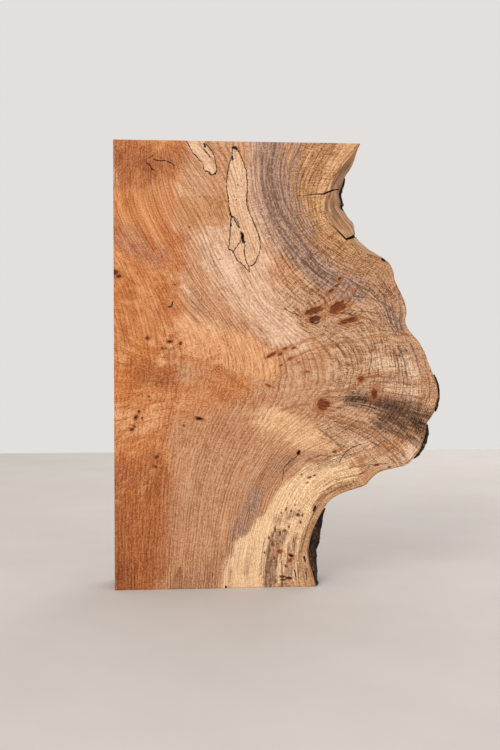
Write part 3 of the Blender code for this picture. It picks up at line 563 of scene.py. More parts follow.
# How much darker each part of the grain makes the wood.
RING_DARK, EARLY_LIGHT, RING_TONE_DARK, DRIFT_DARK = 0.55, -0.15, 0.16, 0.45
RING_HAIR_DARK, RAY_HAIR_DARK, RING_HAIR_SHARE = 0.7, 0.4, (0.22, 0.45)
CREPE_DARK, GRIT_DARK, PORES_DARK, MOTTLE_DARK = 0.95, 1.5, 0.22, 0.3
RAY_DARK, RAY_DARK_LIVELY = 0.4, 1.35
LIVELY_GAIN = 0.6  # how much stronger the fine figure is where the wood is lively
HEART_FIBRE, OTHER_FIBRE = -0.45, 1.25  # fibres show less in the orange heart
HEART_RINGS = -0.5  # and so do rings there and in the red
LIGHTEST = -0.38  # the least darkness that the figure reaches
DEEPEN, DARKEN, DARKEST = 0.5, -0.5, 0.15  # how darkness deepens a colour and dims it, and down to what
GRIT_SCALE, GRIT_DETAIL = 950.0, 1.0

# The blotchy figure of the orange heart.
BLOTCH_SHARE, CURL_SHARE = 0.6, 0.4
BLOTCH_TONE, BLOTCH_LEVELS, BLOTCH_STRENGTH = (0.44, 0.132, 0.034), (0.49, 0.60), 0.85
GLEAM_TONE, GLEAM_LEVELS, GLEAM_STRENGTH = (0.70, 0.315, 0.125), (0.48, 0.38), 0.4

# Drawn lines: how they sway and wobble, where their edge lies, and how the mottle breaks up streaks.
LINE_SWAY, SWAY_SCALE, SWAY_DETAIL, LINE_WOBBLE = 1.3, 420.0, 2.0, 0.9
STREAK_EDGE, STREAK_BREAKS = (0.9, -0.6), (0.38, 0.54, 0.3, 1.0)
ZONE_EDGE, ZONE_TONE = (0.24, -0.12), (0.017, 0.010, 0.008)

# Knots: how much their outline is stirred, and that of their rings, where each part lies in knot sizes,
# and how closely rings and stripes lie.
KNOT_STIR, RING_STIR, SEED_STEP = 1.8, 0.5, 0.06
BODY_EDGE, HALO_EDGE, HEART_EDGE = (1.10, 0.92), (2.2, 0.8), (0.5, 0.25)
RIM_PLACE, RIM_EDGE, RIM_SHARE = 0.98, (0.16, 0.04), 0.8
STRIPE_ALONG, STRIPE_ACROSS, STRIPE_NOISE, STRIPE_LEVELS = 1.1, 2.9, (1.0, 2.0, 0.6), (0.43, 0.60)
EYE_RINGS, EYE_LEVELS = 9.5, (0.0, 0.8)
KNOT_RINGS, KNOT_RING_LEVELS, RINGS_START, RINGS_END = 21.0, (0.1, 0.9), (1.0, 1.1), (2.0, 1.1)
RINGED_HALO, FLECK_HALO = -0.5, -0.4  # how much less halo these sorts have
SORT_LOW, SORT_HIGH = 0.3, 0.7  # a sort's number is told from the next between these
FLESH_TONE, STRIPE_TONE = (0.42, 0.098, 0.014), (0.105, 0.019, 0.006)
# A knot's parts as they are laid one over another: colour and strength. The body is striped flesh.
MARK_LOOKS = {
    "Halo": ((0.46, 0.152, 0.040), 0.5),
    "Body": (None, 0.92),
    "Rings": ((0.27, 0.085, 0.028), 0.8),
    "Fleck": ((0.075, 0.032, 0.017), 0.85),
    "Heart": ((0.022, 0.010, 0.006), 1.0),
}

# The sanded faces' finish. End grain is darker and duller, and pores, lines and pins lie lower.
END_GRAIN, END_DARK, END_DULL = (0.6, 0.8), -0.3, 0.15
SANDED_ROUGHNESS, FIBRE_ROUGHNESS, SANDED_GLOSS = 0.42, 0.2, 0.15
PORE_RELIEF, FIBRE_RELIEF, LINE_RELIEF, HEART_RELIEF = -0.5, 0.6, -0.8, -2.0
SANDED_BUMP = {"Strength": 0.25, "Distance": 0.0002}

# The natural surface: streaks and threads by their sizes along the grain and inward, in millimetres,
# stains, and a darkening towards the back that is partly the wood's own colour and partly painted shade.
# A noise is its scale, detail and roughness.
STREAK_SIZES, THREAD_SIZES = (30.0, 2.2), (4.0, 0.25)
STREAK_NOISE, THREAD_NOISE, STAIN_NOISE = (1.0, 4.0, 0.65), (1.0, 2.0, 0.6), (55.0, 4.0, 0.6)
NATURAL_DARK, NATURAL_PALE, STREAK_LEVELS = (0.27, 0.125, 0.055), (0.66, 0.365, 0.185), (0.40, 0.62)
STAIN_TONE, STAIN_SHARE = (0.13, 0.062, 0.035), (0.52, 0.7, 0.0, 0.5)
THREAD_TONE, THREAD_SHARE = (0.16, 0.08, 0.045), (0.58, 0.75, 0.0, 0.5)
BACK_SHADE_TONE, BACK_SHADE_SHARE = (0.115, 0.058, 0.032), (8.0, 27.0, 0.0, 0.62)
NATURAL_ROUGHNESS, STREAK_ROUGHNESS, NATURAL_GLOSS = 0.55, 0.25, 0.3
THREAD_RELIEF, NATURAL_BUMP = 0.4, {"Strength": 0.8, "Distance": 0.0012}

# The insides of checks and voids, painted near black as shade, with a brown lip at the show face where
# that painted shade is lighter.
HOLLOW_SHADE_DARK, HOLLOW_SHADE_PALE, HOLLOW_LEVELS = (0.022, 0.011, 0.007), (0.085, 0.040, 0.020), (0.4, 0.65)
LIP_SHADE_TONE, LIP_DEPTH = (0.135, 0.062, 0.032), (2.6, 0.4)
HOLLOW_NOISE, HOLLOW_ROUGHNESS, HOLLOW_GLOSS = (600.0, 3.0, 0.6), (0.3, 0.7, 0.8, 0.97), 0.1

# Bark: black to brown plates, their black partly the bark's own and partly painted shade, pale brown
# crumbs and grey scurf.
PLATE_NOISE, CRUMB_NOISE, SCURF_NOISE = (130.0, 3.0, 0.6), (480.0, 4.0, 0.68), (330.0, 3.0, 0.7)
PLATE_DARK_AND_SHADE, PLATE_PALE, PLATE_LEVELS = (0.009, 0.006, 0.005), (0.045, 0.023, 0.013), (0.38, 0.66)
CRUMB_TONE, CRUMB_LEVELS = (0.22, 0.105, 0.048), (0.55, 0.66)
SCURF_TONE, SCURF_SHARE = (0.26, 0.20, 0.15), (0.68, 0.78, 0.0, 0.4)
BARK_ROUGHNESS, BARK_GLOSS = (0.3, 0.7, 0.78, 0.97), 0.12
CRUMB_RELIEF, BARK_BUMP = 0.5, {"Strength": 0.8, "Distance": 0.0009}

# Where the camera stands from the sawn left corner of the show face, in metres, and how it is turned.
CAMERA_PLACE = (0.0368, -0.8278, 0.1948)
CAMERA_YAW, CAMERA_PITCH = 4.9, -1.65
LENS, SENSOR, NEAREST_SHOWN = 50, 36, 0.05

FLOOR_REACH, FLOOR_END = 6.0, 1.05
FLOOR_TONE, FLOOR_LIGHT = (0.52, 0.49, 0.46), (0.62, 0.59, 0.56)
FLOOR_NOISE, FLOOR_ROUGHNESS = (9.0, 5.0, 0.6), 0.85
WALL_TONE, WALL_LIGHT = (0.93, 0.90, 0.875), 0.82
LIGHT_AIM = (0, 0, 0.18)
LIGHTS = [  # name, place, size, power and tint
    ("key", (-0.75, -1.25, 1.15), 0.9, 12.5, (1.0, 0.97, 0.93)),
    ("fill", (1.2, -1.0, 0.6), 1.4, 3.5, (0.95, 0.97, 1.0)),
    ("rim", (0.6, 1.1, 0.9), 1.2, 6.0, (1.0, 0.98, 0.96)),
]


def rough(x, y, layer):
    """A smooth random number at a place, from one layer of the noise."""
    return noise.noise(Vector((x, y, layer)))


def fade(value, low, high):
    """0 below low, 1 above high, eased between."""
    u = min(max((value - low) / (high - low), 0.0), 1.0)
    return u * u * (3 - 2 * u)


def smooth_through(points, step, fine=24):
    """Points a step apart on a Catmull-Rom curve through the given ones."""
    points = [Vector(p) for p in points]
    ends = [2 * points[0] - points[1], *points, 2 * points[-1] - points[-2]]
    dense = []
    for a, b, c, d in zip(ends, ends[1:], ends[2:], ends[3:]):
        bend = 2 * a - 5 * b + 4 * c - d
        twist = 3 * b - a - 3 * c + d
        for u in (k / fine for k in range(fine)):
            dense.append(0.5 * (2 * b + (c - a) * u + bend * u**2 + twist * u**3))
    dense.append(points[-1])
    run = [0.0]
    for a, b in zip(dense, dense[1:]):
        run.append(run[-1] + (b - a).length)
    count = max(round(run[-1] / step), 1)
    placed, k = [], 0
    for i in range(count + 1):
        want = run[-1] * i / count
        while k < len(run) - 2 and run[k + 1] < want:
            k += 1
        placed.append(dense[k].lerp(dense[k + 1], (want - run[k]) / (run[k + 1] - run[k])))
    return placed


def between(table, height):
    """A row's values at a height, eased between the rows of a table that runs down from the top."""
    rows = sorted(table)
    height = min(max(height, rows[0][0]), rows[-1][0])
    for low, high in zip(rows, rows[1:]):
        if height <= high[0]:
            u = (height - low[0]) / (high[0] - low[0])
            u = u * u * (3 - 2 * u)
            return [a + (b - a) * u for a, b in zip(low[1:], high[1:])]
    return list(rows[-1][1:])


class LiveEdge:
    """The natural surface, by place along it from the top and by depth from 0, the show face, to 1."""

    def __init__(self):
        self.line = smooth_through(LIVE_EDGE, 1.0)
        self.length = float(len(self.line) - 1)

    def on_face(self, along):
        k = min(max(int(along), 0), len(self.line) - 2)
        return self.line[k].lerp(self.line[k + 1], along - k)

    def outward(self, along):
        """The averaged direction out of the board, level at the top and foot so that those stay flat."""
        before = self.on_face(max(along - NORMAL_REACH, 0))
        run = self.on_face(min(along + NORMAL_REACH, self.length)) - before
        out = Vector((-run.y, run.x)).normalized()
        level = 1 - fade(min(along, self.length - along), 0, NORMAL_REACH)
        return out.lerp(Vector((1, 0)), level).normalized()

    def relief(self, along, depth):
        """Waves, ridges along the grain and, on the burl, bumps, with finer ones over them."""
        height = self.on_face(along).y
        burl = fade(height, BURL_LOW, BURL_LOW + BURL_FADE)
        burl *= 1 - fade(height, BURL_HIGH - BURL_FADE, BURL_HIGH)
        across = depth * THICKNESS
        waves = WAVE_HEIGHT * rough(along / WAVE_LENGTH, across / WAVE_WIDTH, WAVES)
        ridges = RIDGE_HEIGHT * rough(along / RIDGE_LENGTH, across / RIDGE_WIDTH, RIDGES)
        ridges += FINE_RIDGE * rough(along / FINE_LENGTH, across / FINE_WIDTH, FINE)
        bumps = BUMP_HEIGHT * rough(along / BUMP_SIZE, across / BUMP_SIZE, BUMPS) * burl
        bumps += FINE_BUMP * rough(along / FINE_BUMP_SIZE, across / FINE_BUMP_SIZE, FINE) * burl
        calm = fade(depth, 0, FRONT_CALM) * fade(min(along, self.length - along), 0, END_CALM)
        calm *= 1 - HOLLOW_CALM * fade(height, HOLLOW_LOW, HOLLOW_HIGH)
        return (waves + ridges * (1 - BURL_SMOOTH * burl) + bumps) * calm

    def point(self, along, depth, lift=0.0):
        """A point of the surface, in millimetres from the sawn corner, lifted this far off the wood."""
        face = self.on_face(along)
        middle, back = between(SWELL, face.y)
        swell = middle * 4 * depth * (1 - depth) + back * depth * (2 * depth - 1)
        out = self.outward(along) * (swell + self.relief(along, depth) + lift)
        return Vector((face.x + out.x, depth * THICKNESS, face.y + out.y))

    def along_at(self, height):
        """The place along the edge at a height. The edge falls all the way, so there is one."""
        return min(range(len(self.line)), key=lambda k: abs(self.line[k].y - height))


def metres(point):
    """From millimetres at the sawn corner to the frame, in metres."""
    return Vector((LEFT + point.x * MM, (point.y - THICKNESS / 2) * MM, point.z * MM))


def new_mesh(name, bm):
    """An object made of the faces drawn so far."""
    mesh = bpy.data.meshes.new(name)
    bmesh.ops.recalc_face_normals(bm, faces=bm.faces)
    bm.to_mesh(mesh)
    bm.free()
    obj = bpy.data.objects.new(name, mesh)
    bpy.context.scene.collection.objects.link(obj)
    return obj


class BoardGrid:
    """The board's skin as a lattice: row down the edge, column across, layer through the thickness."""

    def __init__(self, edge):
        self.edge = edge
        rows = round(edge.length / ROW_STEP)
        inner = [edge.length * i / rows for i in range(1, rows)]
        self.alongs = [0.0, ARRIS, *inner, edge.length - ARRIS, edge.length]
        self.columns = [0.0, ARRIS]
        for start, end, step in COLUMNS:
            count = round((end - start) / step)
            self.columns += [start + (end - start) * k / count for k in range(1, count + 1)]
        self.depths = [THICKNESS * k / DEPTH_STEPS for k in range(DEPTH_STEPS + 1)]
        self.depths = [0.0, ARRIS, *self.depths[1:-1], THICKNESS - ARRIS, THICKNESS]
        self.last_row = len(self.alongs) - 1
        self.last_column = len(self.columns) + OUTER_COLUMNS
        self.last_layer = len(self.depths) - 1
        self.bm = bmesh.new()
        self.made = {}
        self.rims = {}

    def rim(self, row, layer):
        """The point of the natural surface where a row ends."""
        if (row, layer) not in self.rims:
            self.rims[row, layer] = self.edge.point(self.alongs[row], self.depths[layer] / THICKNESS)
        return self.rims[row, layer]

    def share(self, column, reach):
        """How far an outer column lies from the last fixed one to the rim, as a share."""
        count = column - len(self.columns) + 1
        if column == self.last_column - 1:
            return 1 - ARRIS / reach
        return min(count / OUTER_COLUMNS, 1.0)

    def place(self, row, column, layer):
        level = self.edge.on_face(self.alongs[row]).y
        if column < len(self.columns):
            spot = Vector((self.columns[column], self.depths[layer], level))
        else:
            rim = self.rim(row, layer)
            share = self.share(column, rim.x - LAST_FIXED)
            spot = Vector((LAST_FIXED, self.depths[layer], level)).lerp(rim, share)
            spot.z = level + (rim.z - level) * share**3
        return spot + self.rounding(row, column, layer)

    def rounding(self, row, column, layer):
        """Draws in the points on the sawn arrises."""
        pull = Vector()
        sides = 0
        for at_low, at_high, axis in (
            (column == 0, column == self.last_column, 0),
            (layer == 0, layer == self.last_layer, 1),
            (row == self.last_row, row == 0, 2),
        ):
            pull[axis] = int(at_low) - int(at_high)
            sides += int(at_low or at_high)
        return pull * (ARRIS * (1 - math.sqrt(0.5))) if sides > 1 else Vector()

    def vert(self, row, column, layer):
        key = (row, column, layer)
        if key not in self.made:
            self.made[key] = self.bm.verts.new(metres(self.place(*key)))
        return self.made[key]

    def face(self, keys, material_index=0):
        self.bm.faces.new([self.vert(*key) for key in keys]).material_index = material_index

    def front_and_back(self):
        kept = [*range(0, self.last_column, BACK_STRIDE), self.last_column]
        for i in range(self.last_row):
            for j in range(self.last_column):
                self.face([(i, j, 0), (i + 1, j, 0), (i + 1, j + 1, 0), (i, j + 1, 0)])
            for j, n in zip(kept, kept[1:]):
                upper = range(j, n + 1) if i == 0 else (j, n)
                lower = range(j, n + 1) if i + 1 == self.last_row else (j, n)
                ring = [(i, c, self.last_layer) for c in upper]
                ring += [(i + 1, c, self.last_layer) for c in reversed(lower)]
                self.face(ring)

    def edges(self):
        """The left edge, the natural surface, the top and the foot."""
        for k in range(self.last_layer):
            for i in range(self.last_row):
                for j, sort in ((0, 0), (self.last_column, 1)):
                    self.face([(i, j, k), (i + 1, j, k), (i + 1, j, k + 1), (i, j, k + 1)], sort)
            for j in range(self.last_column):
                for i in (0, self.last_row):
                    self.face([(i, j, k), (i, j + 1, k), (i, j + 1, k + 1), (i, j, k + 1)])


def wedge(bm, check):
    """A check's hollow: a hairline at its tip and open at the natural edge."""
    line = [Vector(p) for p in check["line"]]
    last = len(line) - 1
    sections = []
    for k, centre in enumerate(line):
        run = line[min(k + 1, last)] - line[max(k - 1, 0)]
        side = Vector((-run.y, run.x)).normalized()
        wide = check["tip"] + (check["width"] - check["tip"]) * k / last
        deep = check["depth"] * (TIP_DEPTH + (1 - TIP_DEPTH) * k / last)
        floor = check["floor"] / 2
        corners = ((-wide / 2, -FACE_CLEAR), (wide / 2, -FACE_CLEAR), (floor, deep), (-floor, deep))
        spots = [(centre + side * offset, y) for offset, y in corners]
        sections.append([bm.verts.new(metres(Vector((spot.x, y, spot.y)))) for spot, y in spots])
    join_rings(bm, sections)


def pit(bm, x, z, half_length, half_width, slant, deep):
    """A small void's hollow, tapered and oval."""
    long_way = Vector((math.cos(math.radians(slant)), 0, math.sin(math.radians(slant))))
    short_way = Vector((-long_way.z, 0, long_way.x))
    rings = []
    for down, share in PIT_RINGS:
        ring = []
        for k in range(PIT_SIDES):
            a = math.tau * k / PIT_SIDES
            right, up = math.cos(a), math.sin(a)
            wave = rough(right * PIT_WAVES + x, up * PIT_WAVES + z, down)
            uneven = share * (1 + PIT_UNEVEN * wave)
            spot = long_way * (right * half_length) + short_way * (up * half_width)
            ring.append(bm.verts.new(metres(Vector((x, down * deep, z)) + spot * uneven)))
        rings.append(ring)
    join_rings(bm, rings)


def join_rings(bm, rings):
    """Closes a run of rings into a solid."""
    for near, far in zip(rings, rings[1:]):
        for k in range(len(near)):
            n = (k + 1) % len(near)
            bm.faces.new((near[k], near[n], far[n], far[k]))
    bm.faces.new(rings[0])
    bm.faces.new(rings[-1])


def cut_out(obj, checks, pits, inside_shade_look):
    """Cuts checks and pits from the board, with painted shade inside, and keeps the result."""
    bm = bmesh.new()
    for check in checks:
        wedge(bm, check)
    for hollow in pits:
        pit(bm, *hollow)
    bmesh.ops.triangulate(bm, faces=bm.faces)
    cutter = new_mesh("hollows", bm)
    cutter.data.materials.append(inside_shade_look)
    modifier = obj.modifiers.new("hollows", "BOOLEAN")
    modifier.operation = "DIFFERENCE"
    modifier.solver = "EXACT"
    modifier.material_mode = "TRANSFER"
    modifier.object = cutter
    bpy.context.view_layer.update()
    cut = bpy.data.meshes.new_from_object(obj.evaluated_get(bpy.context.evaluated_depsgraph_get()))
    obj.modifiers.clear()
    obj.data = cut
    bpy.data.objects.remove(cutter)


class Field:
    """A number over the face that runs smoothly through guide lines, as a thin plate bends."""

    def __init__(self, guides):
        spots = [(p, value) for value, line in guides for p in line]
        self.at = np.array([p for p, value in spots], float) / FIELD_UNIT
        count = len(spots)
        system = np.zeros((count + 3, count + 3))
        system[:count, :count] = self.bend(self.at) + np.eye(count) * FIELD_SLACK
        system[:count, count] = system[count, :count] = 1
        system[:count, count + 1 :] = self.at
        system[count + 1 :, :count] = self.at.T
        self.parts = np.linalg.solve(system, [value for p, value in spots] + [0, 0, 0])

    def bend(self, places):
        gap = ((places[:, None, :] - self.at[None, :, :]) ** 2).sum(2) + TINY
        return gap * np.log(gap)

    def __call__(self, places):
        places = places / FIELD_UNIT
        chunks = [places[k : k + CHUNK] for k in range(0, len(places), CHUNK)]
        bent = np.concatenate([self.bend(chunk) @ self.parts[:-3] for chunk in chunks])
        return bent + self.parts[-3] + places @ self.parts[-2:]


def nearest_on(places, line):
    """For each place, the offset to the nearest point of a line, and its length."""
    line = np.array(line, float).reshape(-1, 2)
    best = line[0] - places
    gap = np.hypot(*best.T)
    for start, end in zip(line, line[1:]):
        run = end - start
        share = np.clip((places - start) @ run / max(run @ run, TINY), 0, 1)
        offset = start + share[:, None] * run - places
        length = np.hypot(*offset.T)
        nearer = length < gap
        best[nearer], gap[nearer] = offset[nearer], length[nearer]
    return best, gap


def stroke_weight(places, strokes):
    """How strongly a tone's soft strokes cover each place."""
    bare = np.ones(len(places))
    for line, width, soft, strength in strokes:
        gap = nearest_on(places, line)[1]
        u = np.clip(1 - (gap - width) / soft, 0, 1)
        bare *= 1 - strength * u * u * (3 - 2 * u)
    return 1 - bare


def inside(places, outline):
    """1 inside a closed outline and 0 outside."""
    x, z = places.T
    crossings = np.zeros(len(places), int)
    for (x0, z0), (x1, z1) in zip(outline, outline[1:] + outline[:1]):
        if z0 != z1:
            crossings += ((z0 > z) != (z1 > z)) & (x < x0 + (z - z0) * (x1 - x0) / (z1 - z0))
    return (crossings % 2).astype(float)


def line_layer(places, lines):
    """Offset to the nearest drawn line with its half width, and the distance less the size of a cell."""
    offset = np.full((len(places), 3), FAR)
    offset[:, 2] = NO_WIDTH
    gap = np.full(len(places), FAR)
    for points, half_width in lines:
        drawn = np.array([tuple(p) for p in smooth_through(points, LINE_STEP)])
        low, high = drawn.min(0) - STREAK_MARGIN, drawn.max(0) + STREAK_MARGIN
        near = np.flatnonzero(((places > low) & (places < high)).all(1))
        best, length = nearest_on(places[near], drawn)
        nearer = length < gap[near]
        chosen = near[nearer]
        offset[chosen, :2], offset[chosen, 2] = best[nearer], half_width
        gap[chosen] = length[nearer]
    return offset, gap - CELL


def sort_lines(lines):
    """Shares lines among layers, so that near neighbours lie on different ones."""
    layers = [[] for _ in range(STREAK_LAYERS)]

    def room(line, layer):
        gaps = [nearest_on(np.array(line[0], float), other[0])[1].min() for other in layer]
        return min(gaps, default=FAR)

    for line in lines:
        max(layers, key=lambda layer: room(line, layer)).append(line)
    return layers


def sort_knots():
    """Shares the knots among layers, so that near neighbours lie on different ones."""
    layers = [[] for _ in range(KNOT_LAYERS)]

    def room(knot, layer):
        gaps = [math.hypot(knot[0] - k[0], knot[1] - k[1]) - knot[2] - k[2] for k in layer]
        return min(min(gaps, default=KNOT_ROOM), KNOT_ROOM)

    for knot in KNOTS:
        max(layers, key=lambda layer: room(knot, layer)).append(knot)
    return layers


def knot_offset(places, knot):
    """A place as seen from a knot, in shares of its half length and half width."""
    x, z, half_length, half_width, slant, _ = knot
    turn = math.radians(slant)
    gap = places - (x, z)
    along = gap @ (math.cos(turn), math.sin(turn)) / half_length
    across = gap @ (-math.sin(turn), math.cos(turn)) / half_width
    return along, across


def knot_layer(places, knots):
    """Offset from the nearest knot with its sort, and the distance less the size of a cell."""
    offset = np.full((len(places), 3), KNOT_REACH)
    best = np.full(len(places), KNOT_REACH)
    far = np.full(len(places), KNOT_REACH)
    for knot in knots:
        along, across = knot_offset(places, knot)
        gap = np.hypot(along, across)
        nearer = gap < best
        offset[nearer] = np.stack([along, across, np.full(len(gap), knot[5])], -1)[nearer]
        best[nearer] = gap[nearer]
        far[nearer] = gap[nearer] - CELL / min(knot[2], knot[3])
    return offset, far


def numbers_of(items, key, kind=float, width=1):
    """One property of all of a mesh's points, corners or faces."""
    values = np.empty(len(items) * width, kind)
    items.foreach_get(key, values)
    return values.reshape(-1, width) if width > 1 else values


def face_places(mesh, edge):
    """Where each point lies in the figure, which leans a little as it runs through the thickness."""
    x, y, z = numbers_of(mesh.vertices, "co", width=3).T / MM
    x, depth = x - LEFT / MM, y + THICKNESS / 2
    share = np.clip(depth / THICKNESS, 0, 1)
    line = np.array([tuple(p) for p in edge.line])[::-1]
    swell = np.array(SWELL, float)[::-1]
    reach = np.interp(z, line[:, 1], line[:, 0])
    middle = np.interp(z, swell[:, 0], swell[:, 1])
    back = np.interp(z, swell[:, 0], swell[:, 2])
    out = middle * 4 * share * (1 - share) + back * share * (2 * share - 1)
    face_x = x * reach / (reach + out)
    face_x += LEAN_ACROSS * share * (1 - face_x / reach)
    face_z = z + LEAN_UP * share * np.clip(face_x / reach, 0, 1)
    return np.stack([np.minimum(face_x, reach), face_z], -1), depth


def bend_round_knots(places, ring):
    """Growth rings part round the larger knots."""
    for knot in KNOTS:
        half_length, half_width, sort = knot[2], knot[3], knot[5]
        if sort == EYE and half_length * half_width > LARGE_KNOT:
            along, across = knot_offset(places, knot)
            gap = along**2 + across**2
            ring = ring + KNOT_BEND * np.exp(-gap / BEND_REACH) * min(half_width, FULL_BEND) / FULL_BEND
    return ring


def write_number(mesh, name, values):
    mesh.attributes.new(name, "FLOAT", "POINT").data.foreach_set("value", values.astype(np.float32))


def write_vector(mesh, name, values):
    attribute = mesh.attributes.new(name, "FLOAT_VECTOR", "POINT")
    attribute.data.foreach_set("vector", values.astype(np.float32).ravel())


def draw_figure(mesh, edge):
    """Writes the figure on the mesh: rings, place along the trunk, tones, lines and knots."""
    places, depth = face_places(mesh, edge)
    write_number(mesh, "ring", bend_round_knots(places, Field(RING_GUIDES)(places)))
    write_number(mesh, "along", Field(ALONG_GUIDES)(places))
    write_number(mesh, "depth", depth)
    for tone in TONES:
        write_number(mesh, tone["name"], stroke_weight(places, tone["strokes"]))
    write_number(mesh, "spalt", np.maximum(inside(places, SPALT_LONG), inside(places, SPALT_SHORT)))
    write_number(mesh, "lively", stroke_weight(places, LIVELY))
    layers = {"line": (ZONE_LINES, INNER_LINES)}
    layers.update({streak["name"]: sort_lines(streak["lines"]) for streak in STREAKS})
    for name, sets in layers.items():
        for number, lines in enumerate(sets):
            offset, far = line_layer(places, lines)
            write_vector(mesh, f"{name}_{number}", offset)
            write_number(mesh, f"{name}_far_{number}", far)
    for number, knots in enumerate(sort_knots()):
        offset, far = knot_layer(places, knots)
        write_vector(mesh, f"knot_{number}", offset)
        write_number(mesh, f"knot_far_{number}", far)


def lay_out(mesh):
    """Unwraps the board, with most of the map for the show face."""
    corner = numbers_of(mesh.loops, "vertex_index", int)
    co = numbers_of(mesh.vertices, "co", width=3)[corner]
    x, y, z = (co.T - np.array([[LEFT], [0], [0]])) / MM
    depth = y + THICKNESS / 2
    size = numbers_of(mesh.polygons, "loop_total", int)
    nx, ny, nz = np.repeat(numbers_of(mesh.polygons, "normal", width=3), size, axis=0).T
    natural = np.repeat(numbers_of(mesh.polygons, "material_index", int), size) == 1
    sides = {
        "back": (ny > FACING, x, z),
        "left": (nx < -FACING, depth, z),
        "top": (nz > FACING, x, depth),
        "foot": (nz < -FACING, x, depth),
        "natural": (natural, depth, z),
    }
    u, v = x / MAP_SIZE + MAP_GAP, z / MAP_SIZE + MAP_GAP
    for name, (chosen, across, up) in sides.items():
        (corner_u, corner_v), (scale_u, scale_v) = MAP_SIDES[name]
        u = np.where(chosen, corner_u + across / MAP_SIZE * scale_u, u)
        v = np.where(chosen, corner_v + up / MAP_SIZE * scale_v, v)
    layer = mesh.uv_layers.new(name="OFBake")
    layer.data.foreach_set("uv", np.stack([u, v], -1).ravel())


def border(grid):
    """The points round a grid, in order."""
    far_side = [row[-1] for row in grid[1:-1]]
    near_side = [row[0] for row in grid[1:-1]]
    return [*grid[0], *far_side, *reversed(grid[-1]), *reversed(near_side)]


def ragged(along, patch, u, v, on_foot):
    """Place and depth of a patch's point. The border wanders except at the show face and the foot."""
    depth = patch["near"] + (patch["far"] - patch["near"]) * v
    side, ends = RAG_MIDDLE, RAG_MIDDLE
    for size, share in RAG_SIZES:
        side += share * rough(along / size, RAGS, patch["high"])
        ends += share * rough(depth * THICKNESS / size, RAGS, patch["low"])
    depth -= v * v * side * BARK_RAG / THICKNESS
    low_pull = 0.0 if on_foot else u * u * ends
    along += ((1 - u) ** 2 * ends - low_pull) * BARK_RAG
    return along, depth


def bark_thickness(along, across, patch, u, v, on_foot):
    """Plates with furrows and crumbs, thinning to the border except at the show face and the foot."""
    plate = rough(along / PLATE_LENGTH, across / PLATE_WIDTH, PLATES)
    furrow = FURROW_LEVEL - abs(rough(along / FURROW_LENGTH, across / FURROW_WIDTH, FURROWS))
    crumb = CRUMB_HEIGHT * rough(along / CRUMB_SIZE, across / CRUMB_SIZE, FINE)
    at_foot = 1.0 if on_foot else BARK_TAPER * (1 - u)
    body = min(1.0, BARK_TAPER * u, at_foot, BARK_TAPER * (1 - v), SHOW_BODY + SHOW_TAPER * v)
    upper, lower = patch["thick"]
    full = upper + (lower - upper) * u
    plates = PLATE_BODY + PLATE_RISE * plate - FURROW_FALL * furrow
    return max(BARK_RIM + (full - BARK_RIM) * body * plates + crumb * body, BARK_RIM)


def bark_grids(bm, edge, patch):
    """The points of a patch's inner and outer side, by row down the edge and column across."""
    start, end = edge.along_at(patch["high"]), edge.along_at(patch["low"])
    on_foot = patch["low"] < FOOT_REACH
    rows = round((end - start) / BARK_STEP)
    columns = round((patch["far"] - patch["near"]) * THICKNESS / BARK_STEP)
    inner, outer = [], []
    for i in range(rows + 1):
        inner_row, outer_row = [], []
        for j in range(columns + 1):
            u, v = i / rows, j / columns
            along, depth = ragged(start + (end - start) * u, patch, u, v, on_foot)
            thick = bark_thickness(along, depth * THICKNESS, patch, u, v, on_foot)
            inner_row.append(bm.verts.new(metres(edge.point(along, depth, BARK_GAP))))
            outer_row.append(bm.verts.new(metres(edge.point(along, depth, BARK_GAP + thick))))
        inner.append(inner_row)
        outer.append(outer_row)
    return inner, outer


def make_bark(edge, patch, look):
    """A crust on the natural edge, a hair off the wood."""
    bm = bmesh.new()
    inner, outer = bark_grids(bm, edge, patch)
    for i in range(len(outer) - 1):
        for j in range(len(outer[0]) - 1):
            bm.faces.new((outer[i][j], outer[i + 1][j], outer[i + 1][j + 1], outer[i][j + 1]))
            bm.faces.new((inner[i][j], inner[i][j + 1], inner[i + 1][j + 1], inner[i + 1][j]))
    rim_in, rim_out = border(inner), border(outer)
    for k in range(len(rim_in)):
        n = (k + 1) % len(rim_in)
        bm.faces.new((rim_in[k], rim_in[n], rim_out[n], rim_out[k]))
    crust = new_mesh(patch["name"].replace("bark", "crust"), bm)
    crust.data.materials.append(look)
    crust.data.shade_smooth()
    crust.data.set_sharp_from_angle(angle=math.radians(BARK_SHARP))
    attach(crust, "root")
    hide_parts(patch["name"])


def make_board(edge, looks, inside_shade_look):
    """The whole board: its skin, its checks and voids, and the figure drawn on it."""
    grid = BoardGrid(edge)
    grid.front_and_back()
    grid.edges()
    board = new_mesh("slab", grid.bm)
    for look in looks:
        board.data.materials.append(look)
    # The third check runs into the second, so it is cut in a round of its own.
    cut_out(board, CHECKS[:2] + CHECKS[3:], PITS, inside_shade_look)
    cut_out(board, CHECKS[2:3], [], inside_shade_look)
    board.data.shade_smooth()
    board.data.set_sharp_from_angle(angle=math.radians(BOARD_SHARP))
    draw_figure(board.data, edge)
    lay_out(board.data)
    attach(board, "root")
    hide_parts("board")


def opaque(colour):
    """A colour given as three numbers, with a full alpha. What a node puts out stays as it is."""
    return (*colour, 1.0) if isinstance(colour, tuple) else colour


